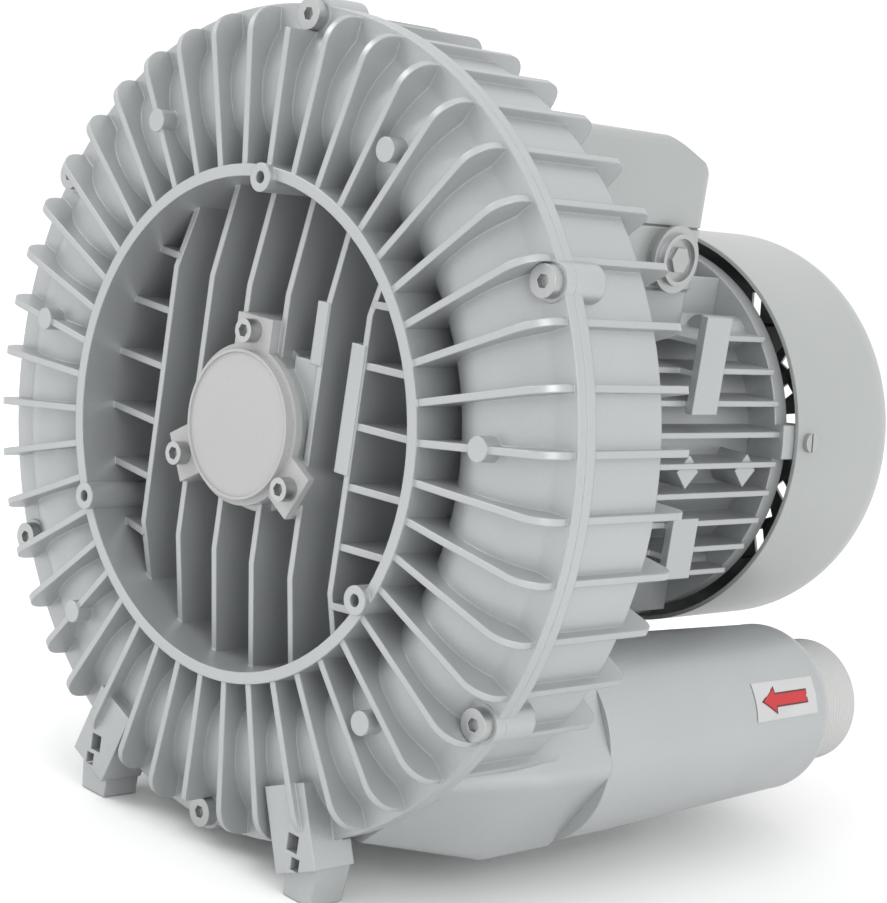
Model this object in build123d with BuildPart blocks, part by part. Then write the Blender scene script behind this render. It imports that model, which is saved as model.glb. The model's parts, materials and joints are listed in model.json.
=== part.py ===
from build123d import *
from math import cos, radians, sin, sqrt
import os

os.makedirs("parts", exist_ok=True)

# ---------------------------------------------------------------------------------------------
# Driving dimensions, in millimetres. Stations named *_Y count backwards from the front rim.
# ---------------------------------------------------------------------------------------------

# Where the machine stands: the origin is on the floor, below the middle of the overall length.
AXIS_HEIGHT = 185.0
RIM_TO_FRONT_BOLT = 16.0
FOOT_PITCH_X = 140.0
FOOT_PITCH_Y = 195.0

# Shared clearances.
LOOSE_GAP = 0.3
RUNNING_GAP = 0.05
SLIP_GAP = 0.05

# Front cover.
WALL = 5.0
RIM_R = 108.0
RECESS_R = 103.0
RECESS_DEPTH = 52.0
FLOOR_PLATE = 6.0
BULGE_R = 138.0
BULGE_Y = 8.0
SHOULDER_R = 163.0
SHOULDER_Y = 15.5
FLANGE_R = 175.5
FLANGE_THICKNESS = 5.0
PARTING_Y = 21.5
GROOVE_Y = 30.0

# Cooling fins of both castings.
FIN_COUNT = 44
FIN_THICKNESS = 3.0
FIN_R = 174.0
FIN_FRONT_Y = 1.0
FIN_CORNER = 12.0
FIN_REAR_Y = 89.0
FIN_REAR_CORNER = 7.0
KNOB_R = 5.0
KNOB_ANGLES = (8.2, 61.4, 122.7, 171.8, 229.1, 315.0)
KNOB_CIRCLE_R = 140.0

# Ribs in the recess.
RIB_PITCH = 24.7
RIB_THICKNESS = 3.0
RIB_FRONT_Y = 10.0
RIB_KINK = 57.0
RIB_END_Y = 18.0
# Blocks beside the hub: x from the axis, station of the front face, z from the axis.
HUB_BLOCKS = (
    ((31.5, 38.0), 9.5, (32.0, 58.0)),
    ((54.5, 62.5), 9.5, (-8.0, 45.0)),
    ((20.0, 38.0), 12.0, (-8.0, 33.0)),
)

# Bosses and screws of the casting pair.
RIM_BOSS_R = 6.0
RIM_BOSS_ANGLES = (90.0, 210.0, 330.0)
RIM_BOSS_Y = -3.0
RIM_HOLE_R = 2.6
RIM_HOLE_DEPTH = 14.0
FLANGE_SCREW_COUNT = 6
FLANGE_SCREW_CIRCLE_R = 171.0
FLANGE_BOSS_R = 8.0
FLANGE_BOSS_Y = 16.0
REAR_BOSS_END_Y = 38.0
M8_R = 4.0
M8_CLEAR_R = 4.5
M8_HEAD_R = 6.5
M8_HEAD_H = 5.0
M8_SOCKET_AF = 5.0
M6_R = 3.0
M6_CLEAR_R = 3.3
M6_HEAD_R = 5.0
M6_HEAD_H = 6.0
M6_SOCKET_AF = 5.0
M5_R = 2.5
M5_CLEAR_R = 2.75
M5_HEAD_R = 4.5
M5_HEAD_H = 4.0
SOCKET_SHARE = 0.55

# Hub and front bearing.
HUB_R = 37.0
HUB_FACE_Y = 8.0
HUB_STEP_Y = 16.0
BEARING_OD_R = 31.0
BEARING_WIDTH = 16.0
BEARING_Y = 14.0
HUB_SHOULDER_R = 27.0
SEAL_OD_R = 26.0
SEAL_WIDTH = 7.0
SEAL_Y = 44.0
SPACER_R = 19.0
HUB_BORE_R = 22.0

# Bearing cap.
CAP_R = 34.0
CAP_DISC_R = 31.5
CAP_FACE_Y = 2.0
CAP_PLATE = 3.5
CAP_EAR_CIRCLE_R = 39.7
CAP_EAR_WIDTH = 22.0
CAP_EAR_REACH = 46.0
CAP_LIP = 1.2
CAP_LIP_DEPTH = 0.8
CAP_CAVITY_R = 24.0
CAP_SPIGOT_R = 30.9

# Rear housing.
DRUM_R = 170.0
DRUM_WALL = 6.0
DRUM_END_Y = 72.0
REAR_PLATE_Y = 68.0
REAR_PLATE = 6.0
REAR_BULGE_Y = 86.0
REAR_HUB_BORE_R = 31.0
MOTOR_SEAT_Y = 84.0
MOTOR_SEAT_R = 88.0
MOTOR_SEAT_BORE_R = 58.0
MOTOR_SCREW_CIRCLE_R = 82.0

# Side channel and impeller.
CHANNEL_INNER_R = 112.0
IMPELLER_R = 158.5
IMPELLER_RIM_R = 117.0
IMPELLER_RIM_BORE_R = 111.0
IMPELLER_FRONT_Y = 33.0
IMPELLER_REAR_Y = 65.0
IMPELLER_DISC = 5.0
IMPELLER_WEB = 3.0
IMPELLER_HUB_R = 29.0
IMPELLER_HUB_END_Y = 96.0
RIM_OVERLAP = 19.0
BLADE_CORNER = 8.0
BLADE_COUNT = 40
BLADE_THICKNESS = 2.6
KEY_WIDTH = 8.0
KEY_HEIGHT = 7.0
KEY_LENGTH = 24.0
KEY_Y = 66.0
KEY_SEAT = 11.0

# Port block, seen from the front: corners at (x, z) from the axis, right-hand side.
PORT_X = 90.0
PORT_DROP = 122.0
PORT_BORE_R = 32.0
BLOCK_END_Y = 118.0
BLOCK_FULL_Y = 78.0
BLOCK_START_Y = 30.0
BLOCK_CORNER_R = 8.0
DUCT_MOUTH_X = 83.0
DUCT_MOUTH_DROP = 113.0
DUCT_MOUTH_R = 24.0

# Silencers.
JOINT_PLATE = 5.0
SILENCER_R = 43.5
SILENCER_END_R = 40.0
SILENCER_WALL = 4.0
SILENCER_END_Y = 289.0
SILENCER_SHOULDER = 11.0
CONNECTOR_R = 29.8
CONNECTOR_BORE_R = 25.0
CONNECTOR_END_Y = 323.0
CONNECTOR_SEAT = 8.0
CONNECTOR_SEAT_R = 31.0
CONNECTOR_GROOVE = 1.5
CONNECTOR_GROOVE_R = 28.8
LINER_R = 26.5
LINER_WALL = 1.2
FOAM_R = 36.0

# Feet.
LEG_ANGLE = -67.5
LEG_WIDTH = 24.0
LEG_FACE_Y = 4.0
LEG_BACK_Y = 26.0
LEG_INNER_R = 150.0
LEG_OUTER_R = 186.0
FOOT_PAD_H = 8.0
SLOT_WIDTH = 9.0
SLOT_LENGTH = 10.0
LUG_FRONT_Y = 8.0
LUG_INNER_X = 62.0
LUG_OUTER_X = 78.0
LUG_ROOTS = ((80.5, -166.0), (61.5, -174.0))
LEG_POCKET_W = 13.0
LEG_POCKET_H = 22.0
LEG_WINDOWS = ((67.2, -160.5, 6.5, 7.5), (70.2, -168.8, 5.0, 5.5))
REAR_FOOT_W = 36.0
REAR_FOOT_END_Y = 232.0
REAR_FOOT_X = 27.0
REAR_WEB_T = 9.0
REAR_SLOT_X = 50.0

# Motor.
FRAME_BORE_R = 70.0
FRAME_R = 76.0
FRAME_FIN_R = 94.0
FRAME_FIN_PITCH = 14.0
FRAME_FIN_T = 2.6
FRAME_END_Y = 256.0
FRAME_FLANGE = 8.0
STATOR_BORE_R = 42.8
STATOR_Y = 128.0
STATOR_END_Y = 214.0
WINDING_R = 64.0
WINDING_IN_R = 46.0
WINDING_REACH = 22.0
ROTOR_R = 42.4
SHIELD_THICKNESS = 9.0
REAR_BEARING_R = 26.0
REAR_BEARING_BORE_R = 12.5
REAR_BEARING_WIDTH = 15.0
SHAFT_R = 15.0
SHAFT_BODY_R = 20.0
FAN_SEAT_R = 11.0
SHAFT_NECK_R = 17.0
SHAFT_BODY_END_Y = 238.0
SHAFT_END_Y = 314.0
REAR_BEARING_Y = 248.0
RACE_SPLIT_R = 22.0
REAR_RACE_SPLIT_R = 18.5
END_RING_IN_R = 28.0
CLAMP_T = 3.0
CLAMP_SCREW_AF = 10.0
CLAMP_HEAD_H = 4.0
CAP_FLANGE_T = 3.0
COVER_SCREW_LENGTH = 16.0
FAN_BLADE_T = 2.5
FRAME_FIN_Y = 100.0
END_SHIELD_R = 91.5
SHIELD_SCREW_CIRCLE_R = 79.0
SHIELD_LUG_R = 8.0
BOX_SEAT_X = 52.0
WIRE_HOLE_R = 12.0
SIDE_PADS = ((28.0 - 4.0, 68.0), (-52.0, -24.0))
SIDE_PAD_X = 95.0
SIDE_PAD_T = 4.0
SIDE_PAD_YS = (184.0, 202.0)
SIDE_BOSS_YS = (192.0, 235.0)
SIDE_BOSS_W = 11.0
SPRING_SPACE = 3.0
COWL_SCREW_Y = 273.0
COWL_SCREW_ANGLES = (6.5, 96.5, 186.5, 276.5)
GRILLE_RINGS = ((26.0, 14.0, 12), (45.0, 14.0, 20), (63.0, 12.0, 28))
GRILLE_SLOT_W = 6.0
LID_SCREW_INSET = 11.0
LID_POST_R = 7.0
LID_EDGE_R = 5.0
LID_SEAT_Z = 112.0
LID_SCREW_LENGTH = 24.0
ENTRY_REACH = 4.0
PLUG_FLANGE_R = 15.5
PLUG_FLANGE_T = 2.0
PLUG_RIM_R = 12.0
PLUG_DISH_R = 9.8
PLUG_AF = 11.0
PLUG_HEAD_H = 4.5
BOARD_T = 8.0
FAN_R = 76.0
FAN_HUB_R = 19.0
FAN_Y = 282.0
FAN_END_Y = 322.0
FAN_BLADE_COUNT = 7
COWL_R = 98.7
COWL_Y = 264.6
COWL_END_Y = 360.0
COWL_WALL = 2.0
COWL_IN_R = COWL_R - COWL_WALL
COWL_CORNER = 30.0

# Terminal box.
BOX_HALF_X = 60.0
BOX_Y = 112.0
BOX_END_Y = 222.0
BOX_FLOOR = 74.0
BOX_SPLIT = 103.0
BOX_TOP = 144.0
BOX_WALL = 4.0
BOX_CORNER = 14.0
GASKET = 1.5
ENTRY_R = 13.0
ENTRY_BORE_R = 10.0
ENTRY_Z = 89.5
ENTRY_YS = (150.0, 192.0)

RIM_Y = -(RIM_BOSS_Y + COWL_END_Y) / 2
AXLE = Axis((0, RIM_Y, AXIS_HEIGHT), (0, 1, 0))
FIN_ANGLES = [index * 360.0 / FIN_COUNT for index in range(FIN_COUNT)]


def profile_plane(angle=0.0):
    """Plane through the axle: local x is the radius, local y the station behind the rim."""
    a = radians(angle)
    return Plane(
        origin=(0, RIM_Y, AXIS_HEIGHT), x_dir=(cos(a), 0, sin(a)), z_dir=(-sin(a), 0, cos(a))
    )


def cross_plane(station):
    """Plane across the axle, seen from the front. A positive extrude runs forwards."""
    return Plane(origin=(0, RIM_Y + station, AXIS_HEIGHT), x_dir=(1, 0, 0), z_dir=(0, -1, 0))


def write(piece, label):
    """Label one finished piece and write its STEP file."""
    piece.label = label
    export_step(piece, f"parts/{label}.step")


def axial(x=0.0, z=0.0):
    """Line parallel to the axle through a place (x, z) measured from it."""
    return Axis((x, RIM_Y, AXIS_HEIGHT + z), (0, 1, 0))


def turned(outline, x=0.0, z=0.0):
    """Solid of revolution from a closed outline of (radius, station) lines and arcs."""
    plane = Plane(origin=(x, RIM_Y, AXIS_HEIGHT + z), x_dir=(1, 0, 0), z_dir=(0, 0, 1))
    with BuildPart() as solid:
        with BuildSketch(plane):
            with BuildLine():
                for piece in outline:
                    if len(piece) == 2:
                        Line(piece[0], piece[1])
                    else:
                        ThreePointArc(piece[0], piece[1], piece[2])
            make_face()
        revolve(axis=axial(x, z))
    return solid.part


def ring(inner_r, outer_r, front, rear):
    """Plain ring about the axle between two stations."""
    with BuildPart() as solid:
        with BuildSketch(cross_plane(rear)):
            Circle(outer_r)
            if inner_r > 0:
                Circle(inner_r, mode=Mode.SUBTRACT)
        extrude(amount=rear - front)
    return solid.part


def rods(radius, places, front, rear):
    """Round bars along the axle at (x, z) places measured from it."""
    with BuildPart() as solid:
        with BuildSketch(cross_plane(rear)):
            with Locations(*places):
                Circle(radius)
        extrude(amount=rear - front)
    return solid.part


def on_circle(radius, angles):
    """Places on a circle about the axle."""
    return [(radius * cos(radians(a)), radius * sin(radians(a))) for a in angles]


def evenly(count, start=0.0):
    """Angles of a full circle of equal steps."""
    return [start + index * 360.0 / count for index in range(count)]


def fin_plate(outline, thickness, corner_points=(), corner_r=1.0):
    """One radial fin from its (radius, station) outline, with chosen corners rounded."""
    with BuildPart() as solid:
        with BuildSketch(profile_plane()):
            with BuildLine():
                Polyline(*outline, close=True)
            make_face()
        extrude(amount=thickness / 2, both=True)
        for r, y in corner_points:
            edges = solid.edges().filter_by(Axis.Z)
            spot = Vector(r, RIM_Y + y, AXIS_HEIGHT)
            fillet(edges.sort_by_distance(spot)[0], corner_r)
    return solid.part


def copies(piece, angles):
    """The piece turned about the axle to each angle, counted from the right, upwards."""
    return [piece.rotate(AXLE, -angle) for angle in angles]


def block(x_range, y_range, z_range):
    """Upright box between limits; x and z are measured from the axle, y behind the rim."""
    with BuildPart() as solid:
        with BuildSketch(cross_plane(y_range[1])):
            with Locations(((x_range[0] + x_range[1]) / 2, (z_range[0] + z_range[1]) / 2)):
                Rectangle(x_range[1] - x_range[0], z_range[1] - z_range[0])
        extrude(amount=y_range[1] - y_range[0])
    return solid.part


def side_plate(outline, x_range):
    """Plate across the left-right direction from a closed (station, height) outline."""
    plane = Plane(origin=(x_range[0], RIM_Y, AXIS_HEIGHT), x_dir=(0, 1, 0), z_dir=(1, 0, 0))
    with BuildPart() as solid:
        with BuildSketch(plane):
            with BuildLine():
                Polyline(*outline, close=True)
            make_face()
        extrude(amount=x_range[1] - x_range[0])
    return solid.part


def screws(plane, places, shank_r, length, head_r, head_h, socket_af):
    """Socket-head screws standing on a plane, heads outwards, as separate solids."""
    with BuildPart() as solid:
        with BuildSketch(plane):
            with Locations(*places):
                Circle(head_r)
        extrude(amount=head_h)
        with BuildSketch(plane):
            with Locations(*places):
                Circle(shank_r)
        extrude(amount=-length)
        with BuildSketch(plane.offset(head_h)):
            with Locations(*places):
                RegularPolygon(socket_af / sqrt(3), 6)
        extrude(amount=-head_h * SOCKET_SHARE, mode=Mode.SUBTRACT)
    return solid.part


# ---------------------------------------------------------------------------------------------
# Front cover: the finned casting with the ribbed recess, the bearing hub and the front legs.
# ---------------------------------------------------------------------------------------------

FLOOR_END_Y = RECESS_DEPTH + FLOOR_PLATE
BEARING_END_Y = BEARING_Y + BEARING_WIDTH
CHANNEL_FRONT_Y = BULGE_Y + WALL
RECESS_OUTER_R = RECESS_R + WALL + 1.0
CAP_SCREW_PLACES = on_circle(CAP_EAR_CIRCLE_R, RIM_BOSS_ANGLES)
FLANGE_SCREW_ANGLES = evenly(FLANGE_SCREW_COUNT, 30.0)
FLANGE_SCREW_PLACES = on_circle(FLANGE_SCREW_CIRCLE_R, FLANGE_SCREW_ANGLES)
RIM_BOSS_PLACES = on_circle(RECESS_R, RIM_BOSS_ANGLES)
SHELL_IN_R = DRUM_R - DRUM_WALL


def cover_shell():
    """Turned body of the front cover: recess wall and floor, channel bulge, parting flange."""
    rim_front = (RIM_R, 0)
    groove = (RECESS_OUTER_R, GROOVE_Y)
    crown = (BULGE_R, BULGE_Y)
    shoulder = (SHOULDER_R, SHOULDER_Y)
    shoulder_end = (SHOULDER_R + 2.0, PARTING_Y - FLANGE_THICKNESS)
    flange_front = (FLANGE_R, PARTING_Y - FLANGE_THICKNESS)
    flange_rear = (FLANGE_R, PARTING_Y)
    mouth = (SHELL_IN_R, PARTING_Y)
    inner_crown = (BULGE_R, CHANNEL_FRONT_Y)
    inner_groove = (CHANNEL_INNER_R + 2.0, IMPELLER_FRONT_Y)
    back_wall = (RECESS_OUTER_R, IMPELLER_FRONT_Y + 4.0)
    outline = [
        ((HUB_BORE_R, RECESS_DEPTH), (RECESS_R, RECESS_DEPTH)),
        ((RECESS_R, RECESS_DEPTH), (RECESS_R, 0)),
        ((RECESS_R, 0), rim_front),
        (rim_front, groove),
        (groove, (118.5, 14.5), crown),
        (crown, (151.5, 9.6), shoulder),
        (shoulder, shoulder_end),
        (shoulder_end, flange_front),
        (flange_front, flange_rear),
        (flange_rear, mouth),
        (mouth, (151.0, 15.4), inner_crown),
        (inner_crown, (122.5, 18.5), inner_groove),
        (inner_groove, back_wall),
        (back_wall, (RECESS_OUTER_R, FLOOR_END_Y)),
        ((RECESS_OUTER_R, FLOOR_END_Y), (HUB_BORE_R, FLOOR_END_Y)),
        ((HUB_BORE_R, FLOOR_END_Y), (HUB_BORE_R, RECESS_DEPTH)),
    ]
    return turned(outline)


def cover_fin():
    """Front fin: straight front edge from the rim, rounded corner, axial edge to the flange."""
    bulge_inside = BULGE_Y + WALL / 2
    outline = [
        (RECESS_R + 2.0, FIN_FRONT_Y),
        (FIN_R, FIN_FRONT_Y),
        (FIN_R, PARTING_Y - 1.0),
        (SHOULDER_R - 1.0, PARTING_Y - 1.0),
        (152.0, bulge_inside + 2.0),
        (BULGE_R, bulge_inside),
        (124.0, bulge_inside + 5.0),
        (RECESS_OUTER_R + 2.0, GROOVE_Y + 2.0),
        (RECESS_R + 2.0, GROOVE_Y + 2.0),
    ]
    return fin_plate(outline, FIN_THICKNESS, [(FIN_R, FIN_FRONT_Y)], FIN_CORNER)


def recess_rib_profile(half_span):
    """Front edge and sides of a rib that crosses the recess, as (along, depth) points."""
    return [
        (-half_span, RIB_END_Y),
        (-RIB_KINK, RIB_FRONT_Y),
        (RIB_KINK, RIB_FRONT_Y),
        (half_span, RIB_END_Y),
        (half_span, RECESS_DEPTH + 1.0),
        (-half_span, RECESS_DEPTH + 1.0),
    ]


def upright_rib(x):
    """Vertical rib of the recess, with its front edge deepening towards the rim."""
    plane = Plane(origin=(x, RIM_Y, AXIS_HEIGHT), x_dir=(0, 0, 1), z_dir=(-1, 0, 0))
    half_span = sqrt((RECESS_R + 2.0) ** 2 - x * x)
    with BuildPart() as solid:
        with BuildSketch(plane):
            with BuildLine():
                Polyline(*recess_rib_profile(half_span), close=True)
            make_face()
        extrude(amount=RIB_THICKNESS / 2, both=True)
    return solid.part


def cross_rib(z, side):
    """Short level rib from the outermost vertical rib to the recess wall."""
    start = 2.5 * RIB_PITCH
    end = sqrt((RECESS_R + 2.0) ** 2 - z * z)
    plane = Plane(origin=(0, RIM_Y, AXIS_HEIGHT + z), x_dir=(side, 0, 0), z_dir=(0, 0, side))
    with BuildPart() as solid:
        with BuildSketch(plane):
            with BuildLine():
                Polyline(
                    (start, RIB_FRONT_Y + 0.5),
                    (end, RIB_END_Y),
                    (end, RECESS_DEPTH + 1.0),
                    (start, RECESS_DEPTH + 1.0),
                    close=True,
                )
            make_face()
        extrude(amount=RIB_THICKNESS / 2, both=True)
    return solid.part


def front_leg(side):
    """Front leg: a radial box with two windows, hollow behind, on a small slotted floor lug."""
    a = radians(LEG_ANGLE)
    half = LEG_WIDTH / 2
    corners = [
        (side * (r * cos(a) - w * half * sin(a)), r * sin(a) + w * half * cos(a))
        for r, w in ((LEG_INNER_R, -1), (LEG_OUTER_R, -1), (LEG_OUTER_R, 1), (LEG_INNER_R, 1))
    ]
    bolt_x = side * FOOT_PITCH_X / 2
    floor_z = -AXIS_HEIGHT
    lug = [
        (side * LUG_INNER_X, floor_z),
        (side * LUG_OUTER_X, floor_z),
        (side * LUG_ROOTS[0][0], LUG_ROOTS[0][1]),
        (side * LUG_ROOTS[1][0], LUG_ROOTS[1][1]),
    ]
    pocket_top = floor_z + FOOT_PAD_H + LEG_POCKET_H
    pocket = block(
        (bolt_x - LEG_POCKET_W / 2, bolt_x + LEG_POCKET_W / 2),
        (LEG_FACE_Y + WALL, LEG_BACK_Y + 1.0),
        (floor_z + FOOT_PAD_H, pocket_top),
    )
    inner_crown = (BULGE_R, CHANNEL_FRONT_Y)
    mouth = (SHELL_IN_R, PARTING_Y)
    mouth_back = (SHELL_IN_R, LEG_BACK_Y + 1.0)
    axis_back = (0, LEG_BACK_Y + 1.0)
    channel = [
        ((0, CHANNEL_FRONT_Y), inner_crown),
        (inner_crown, (151.0, 15.4), mouth),
        (mouth, mouth_back),
        (mouth_back, axis_back),
        (axis_back, (0, CHANNEL_FRONT_Y)),
    ]
    with BuildPart() as solid:
        for outline, front in ((corners, LEG_FACE_Y), (lug, LUG_FRONT_Y)):
            with BuildSketch(cross_plane(LEG_BACK_Y)):
                with BuildLine():
                    Polyline(*outline, close=True)
                make_face()
            extrude(amount=LEG_BACK_Y - front)
        add(pocket, mode=Mode.SUBTRACT)
        with BuildSketch(cross_plane(LEG_FACE_Y + WALL)):
            for x, z, wide, high in LEG_WINDOWS:
                with Locations((side * x, z)):
                    Rectangle(wide, high)
        extrude(amount=WALL, mode=Mode.SUBTRACT)
        with BuildSketch(Plane.XY):
            with Locations((bolt_x, RIM_Y + RIM_TO_FRONT_BOLT)):
                SlotOverall(SLOT_LENGTH, SLOT_WIDTH)
        extrude(amount=FOOT_PAD_H, mode=Mode.SUBTRACT)
        add(ring(0, FLANGE_R + LOOSE_GAP, PARTING_Y, LEG_BACK_Y + 1.0), mode=Mode.SUBTRACT)
        add(turned(channel), mode=Mode.SUBTRACT)
    return solid.part


def cap_outline():
    """Outline of the bearing cap and its seat: a disc with three square ears."""
    Circle(CAP_R)
    ear_start = CAP_R / 2
    with Locations(*on_circle((ear_start + CAP_EAR_REACH) / 2, RIM_BOSS_ANGLES[:1])):
        Rectangle(CAP_EAR_WIDTH, CAP_EAR_REACH - ear_start)
    for angle in RIM_BOSS_ANGLES[1:]:
        with Locations(*on_circle((ear_start + CAP_EAR_REACH) / 2, [angle])):
            Rectangle(CAP_EAR_REACH - ear_start, CAP_EAR_WIDTH, rotation=angle)


def make_front_cover():
    """The whole front casting."""
    fin = cover_fin()
    fins = copies(fin, FIN_ANGLES)
    shell = cover_shell()
    uprights = [upright_rib((k + 0.5) * RIB_PITCH) for k in range(-3, 3)]
    levels = [cross_rib((k + 0.5) * RIB_PITCH, s) for k in range(-3, 3) for s in (-1, 1)]
    hub = ring(0, HUB_R, HUB_STEP_Y, FLOOR_END_Y)
    hub_blocks = [block(x, (front, RECESS_DEPTH + 1.0), z) for x, front, z in HUB_BLOCKS]
    with BuildPart() as cap_bosses:
        with BuildSketch(cross_plane(RECESS_DEPTH + 1.0)):
            cap_outline()
        extrude(amount=RECESS_DEPTH + 1.0 - HUB_FACE_Y)
    rim_bosses = rods(RIM_BOSS_R, RIM_BOSS_PLACES, RIM_BOSS_Y, RECESS_DEPTH + 1.0)
    flange_bosses = rods(FLANGE_BOSS_R, FLANGE_SCREW_PLACES, FLANGE_BOSS_Y, PARTING_Y)
    knobs = rods(KNOB_R, on_circle(KNOB_CIRCLE_R, KNOB_ANGLES), 0.0, BULGE_Y + WALL / 2)
    bearing_bore = ring(0, BEARING_OD_R, HUB_FACE_Y - 1.0, BEARING_END_Y)
    shoulder_bore = ring(0, HUB_SHOULDER_R, HUB_FACE_Y, SEAL_Y - 4.0)
    neck_bore = ring(0, HUB_BORE_R, HUB_FACE_Y, FLOOR_END_Y + 1.0)
    seal_bore = ring(0, SEAL_OD_R, SEAL_Y, FLOOR_END_Y + 1.0)
    cap_holes = rods(M6_R + SLIP_GAP, CAP_SCREW_PLACES, HUB_FACE_Y - 1.0, HUB_FACE_Y + 18.0)
    rim_holes = rods(RIM_HOLE_R, RIM_BOSS_PLACES, RIM_BOSS_Y - 1.0, RIM_HOLE_DEPTH)
    flange_holes = rods(M8_CLEAR_R, FLANGE_SCREW_PLACES, FLANGE_BOSS_Y - 1.0, PARTING_Y + 1.0)
    spot_faces = rods(M8_HEAD_R + LOOSE_GAP, FLANGE_SCREW_PLACES, 0.0, FLANGE_BOSS_Y)
    legs = [front_leg(1), front_leg(-1)]
    with BuildPart() as cover:
        add(shell)
        add(fins + uprights + levels + [hub, cap_bosses.part, rim_bosses, flange_bosses, knobs])
        add(hub_blocks + legs)
        add(
            [bearing_bore, shoulder_bore, neck_bore, seal_bore, cap_holes, rim_holes],
            mode=Mode.SUBTRACT,
        )
        add([flange_holes, spot_faces], mode=Mode.SUBTRACT)
    return cover.part


write(make_front_cover(), "front_cover")


# ---------------------------------------------------------------------------------------------
# Rear housing: drum, channel bowl, port blocks with their ducts, motor seat and rear feet.
# ---------------------------------------------------------------------------------------------

REAR_FLANGE_END_Y = PARTING_Y + FLANGE_THICKNESS
PLATE_BACK_Y = REAR_PLATE_Y + REAR_PLATE
BOWL_Y = REAR_BULGE_Y - WALL
CHANNEL_R = DRUM_R - DRUM_WALL
PORTS = ((-1, "outlet"), (1, "inlet"))
MOTOR_SCREW_PLACES = on_circle(MOTOR_SCREW_CIRCLE_R, evenly(4, 45.0))
BLOCK_FRONT = ((118.0, -100.0), (122.0, -122.0), (80.0, -160.0), (30.0, -160.0), (30.0, -100.0))
BLOCK_FULL = ((112.0, -76.0), (136.0, -121.0), (106.0, -166.0), (40.0, -166.0), (40.0, -90.0))
JOINT_OUTLINE = ((114.0, -82.0), (134.7, -121.0), (106.5, -163.5), (42.0, -163.5), (42.0, -90.0))
SILENCER_SCREWS = ((47.0, -95.0), (47.0, -157.0))


def housing_shell():
    """Turned body of the rear housing."""
    flange_front = (FLANGE_R, PARTING_Y)
    flange_back = (FLANGE_R, REAR_FLANGE_END_Y)
    drum_front = (DRUM_R, REAR_FLANGE_END_Y)
    drum_back = (DRUM_R, DRUM_END_Y)
    lip = (CHANNEL_R + 2.0, DRUM_END_Y)
    crown = (BULGE_R, REAR_BULGE_Y)
    valley = (CHANNEL_INNER_R, PLATE_BACK_Y)
    seat_foot = (MOTOR_SEAT_R, PLATE_BACK_Y)
    seat_outer = (MOTOR_SEAT_R, MOTOR_SEAT_Y)
    seat_inner = (MOTOR_SEAT_BORE_R, MOTOR_SEAT_Y)
    step = (MOTOR_SEAT_BORE_R, PLATE_BACK_Y)
    bore_back = (REAR_HUB_BORE_R, PLATE_BACK_Y)
    bore_front = (REAR_HUB_BORE_R, REAR_PLATE_Y)
    bowl_in = (IMPELLER_RIM_R, REAR_PLATE_Y)
    bowl = (BULGE_R, BOWL_Y)
    bowl_out = (CHANNEL_R, REAR_PLATE_Y - 4.0)
    mouth = (CHANNEL_R, PARTING_Y)
    outline = [
        (flange_front, flange_back),
        (flange_back, drum_front),
        (drum_front, drum_back),
        (drum_back, lip),
        (lip, (155.0, 81.5), crown),
        (crown, (124.0, 82.5), valley),
        (valley, seat_foot),
        (seat_foot, seat_outer),
        (seat_outer, seat_inner),
        (seat_inner, step),
        (step, bore_back),
        (bore_back, bore_front),
        (bore_front, bowl_in),
        (bowl_in, (124.5, 77.5), bowl),
        (bowl, (152.5, 77.0), bowl_out),
        (bowl_out, mouth),
        (mouth, flange_front),
    ]
    return turned(outline)


def channel_space():
    """Room inside the rear housing that the port blocks must leave free."""
    front = PARTING_Y - 1.0
    bowl = (BULGE_R, BOWL_Y)
    outline = [
        ((0, front), (CHANNEL_R, front)),
        ((CHANNEL_R, front), (CHANNEL_R, REAR_PLATE_Y - 4.0)),
        ((CHANNEL_R, REAR_PLATE_Y - 4.0), (152.5, 77.0), bowl),
        (bowl, (124.5, 77.5), (IMPELLER_RIM_R, REAR_PLATE_Y)),
        ((IMPELLER_RIM_R, REAR_PLATE_Y), (0, REAR_PLATE_Y)),
        ((0, REAR_PLATE_Y), (0, front)),
    ]
    return turned(outline)


def housing_fin():
    """Rear fin: low along the drum, rounded corner, down the back of the channel."""
    outline = [
        (DRUM_R - 3.0, REAR_FLANGE_END_Y - 1.0),
        (FIN_R, REAR_FLANGE_END_Y - 1.0),
        (FIN_R, FIN_REAR_Y),
        (CHANNEL_INNER_R + 6.0, FIN_REAR_Y),
        (CHANNEL_INNER_R + 6.0, PLATE_BACK_Y + 4.0),
        (BULGE_R, REAR_BULGE_Y - 2.0),
        (155.0, 79.0),
        (DRUM_R - 3.0, DRUM_END_Y - 2.0),
    ]
    return fin_plate(outline, FIN_THICKNESS, [(FIN_R, FIN_REAR_Y)], FIN_REAR_CORNER)


def port_block(side):
    """Five-sided block that grows out of the drum and ends in the silencer joint."""
    with BuildPart() as solid:
        for station, outline in ((BLOCK_START_Y, BLOCK_FRONT), (BLOCK_FULL_Y, BLOCK_FULL)):
            with BuildSketch(cross_plane(station)):
                with BuildLine():
                    Polyline(*[(side * x, z) for x, z in outline], close=True)
                make_face()
                fillet(vertices(), BLOCK_CORNER_R)
        loft()
        with BuildSketch(cross_plane(BLOCK_END_Y)):
            with BuildLine():
                Polyline(*[(side * x, z) for x, z in BLOCK_FULL], close=True)
            make_face()
            fillet(vertices(), BLOCK_CORNER_R)
        extrude(amount=BLOCK_END_Y - BLOCK_FULL_Y)
    return solid.part


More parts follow.
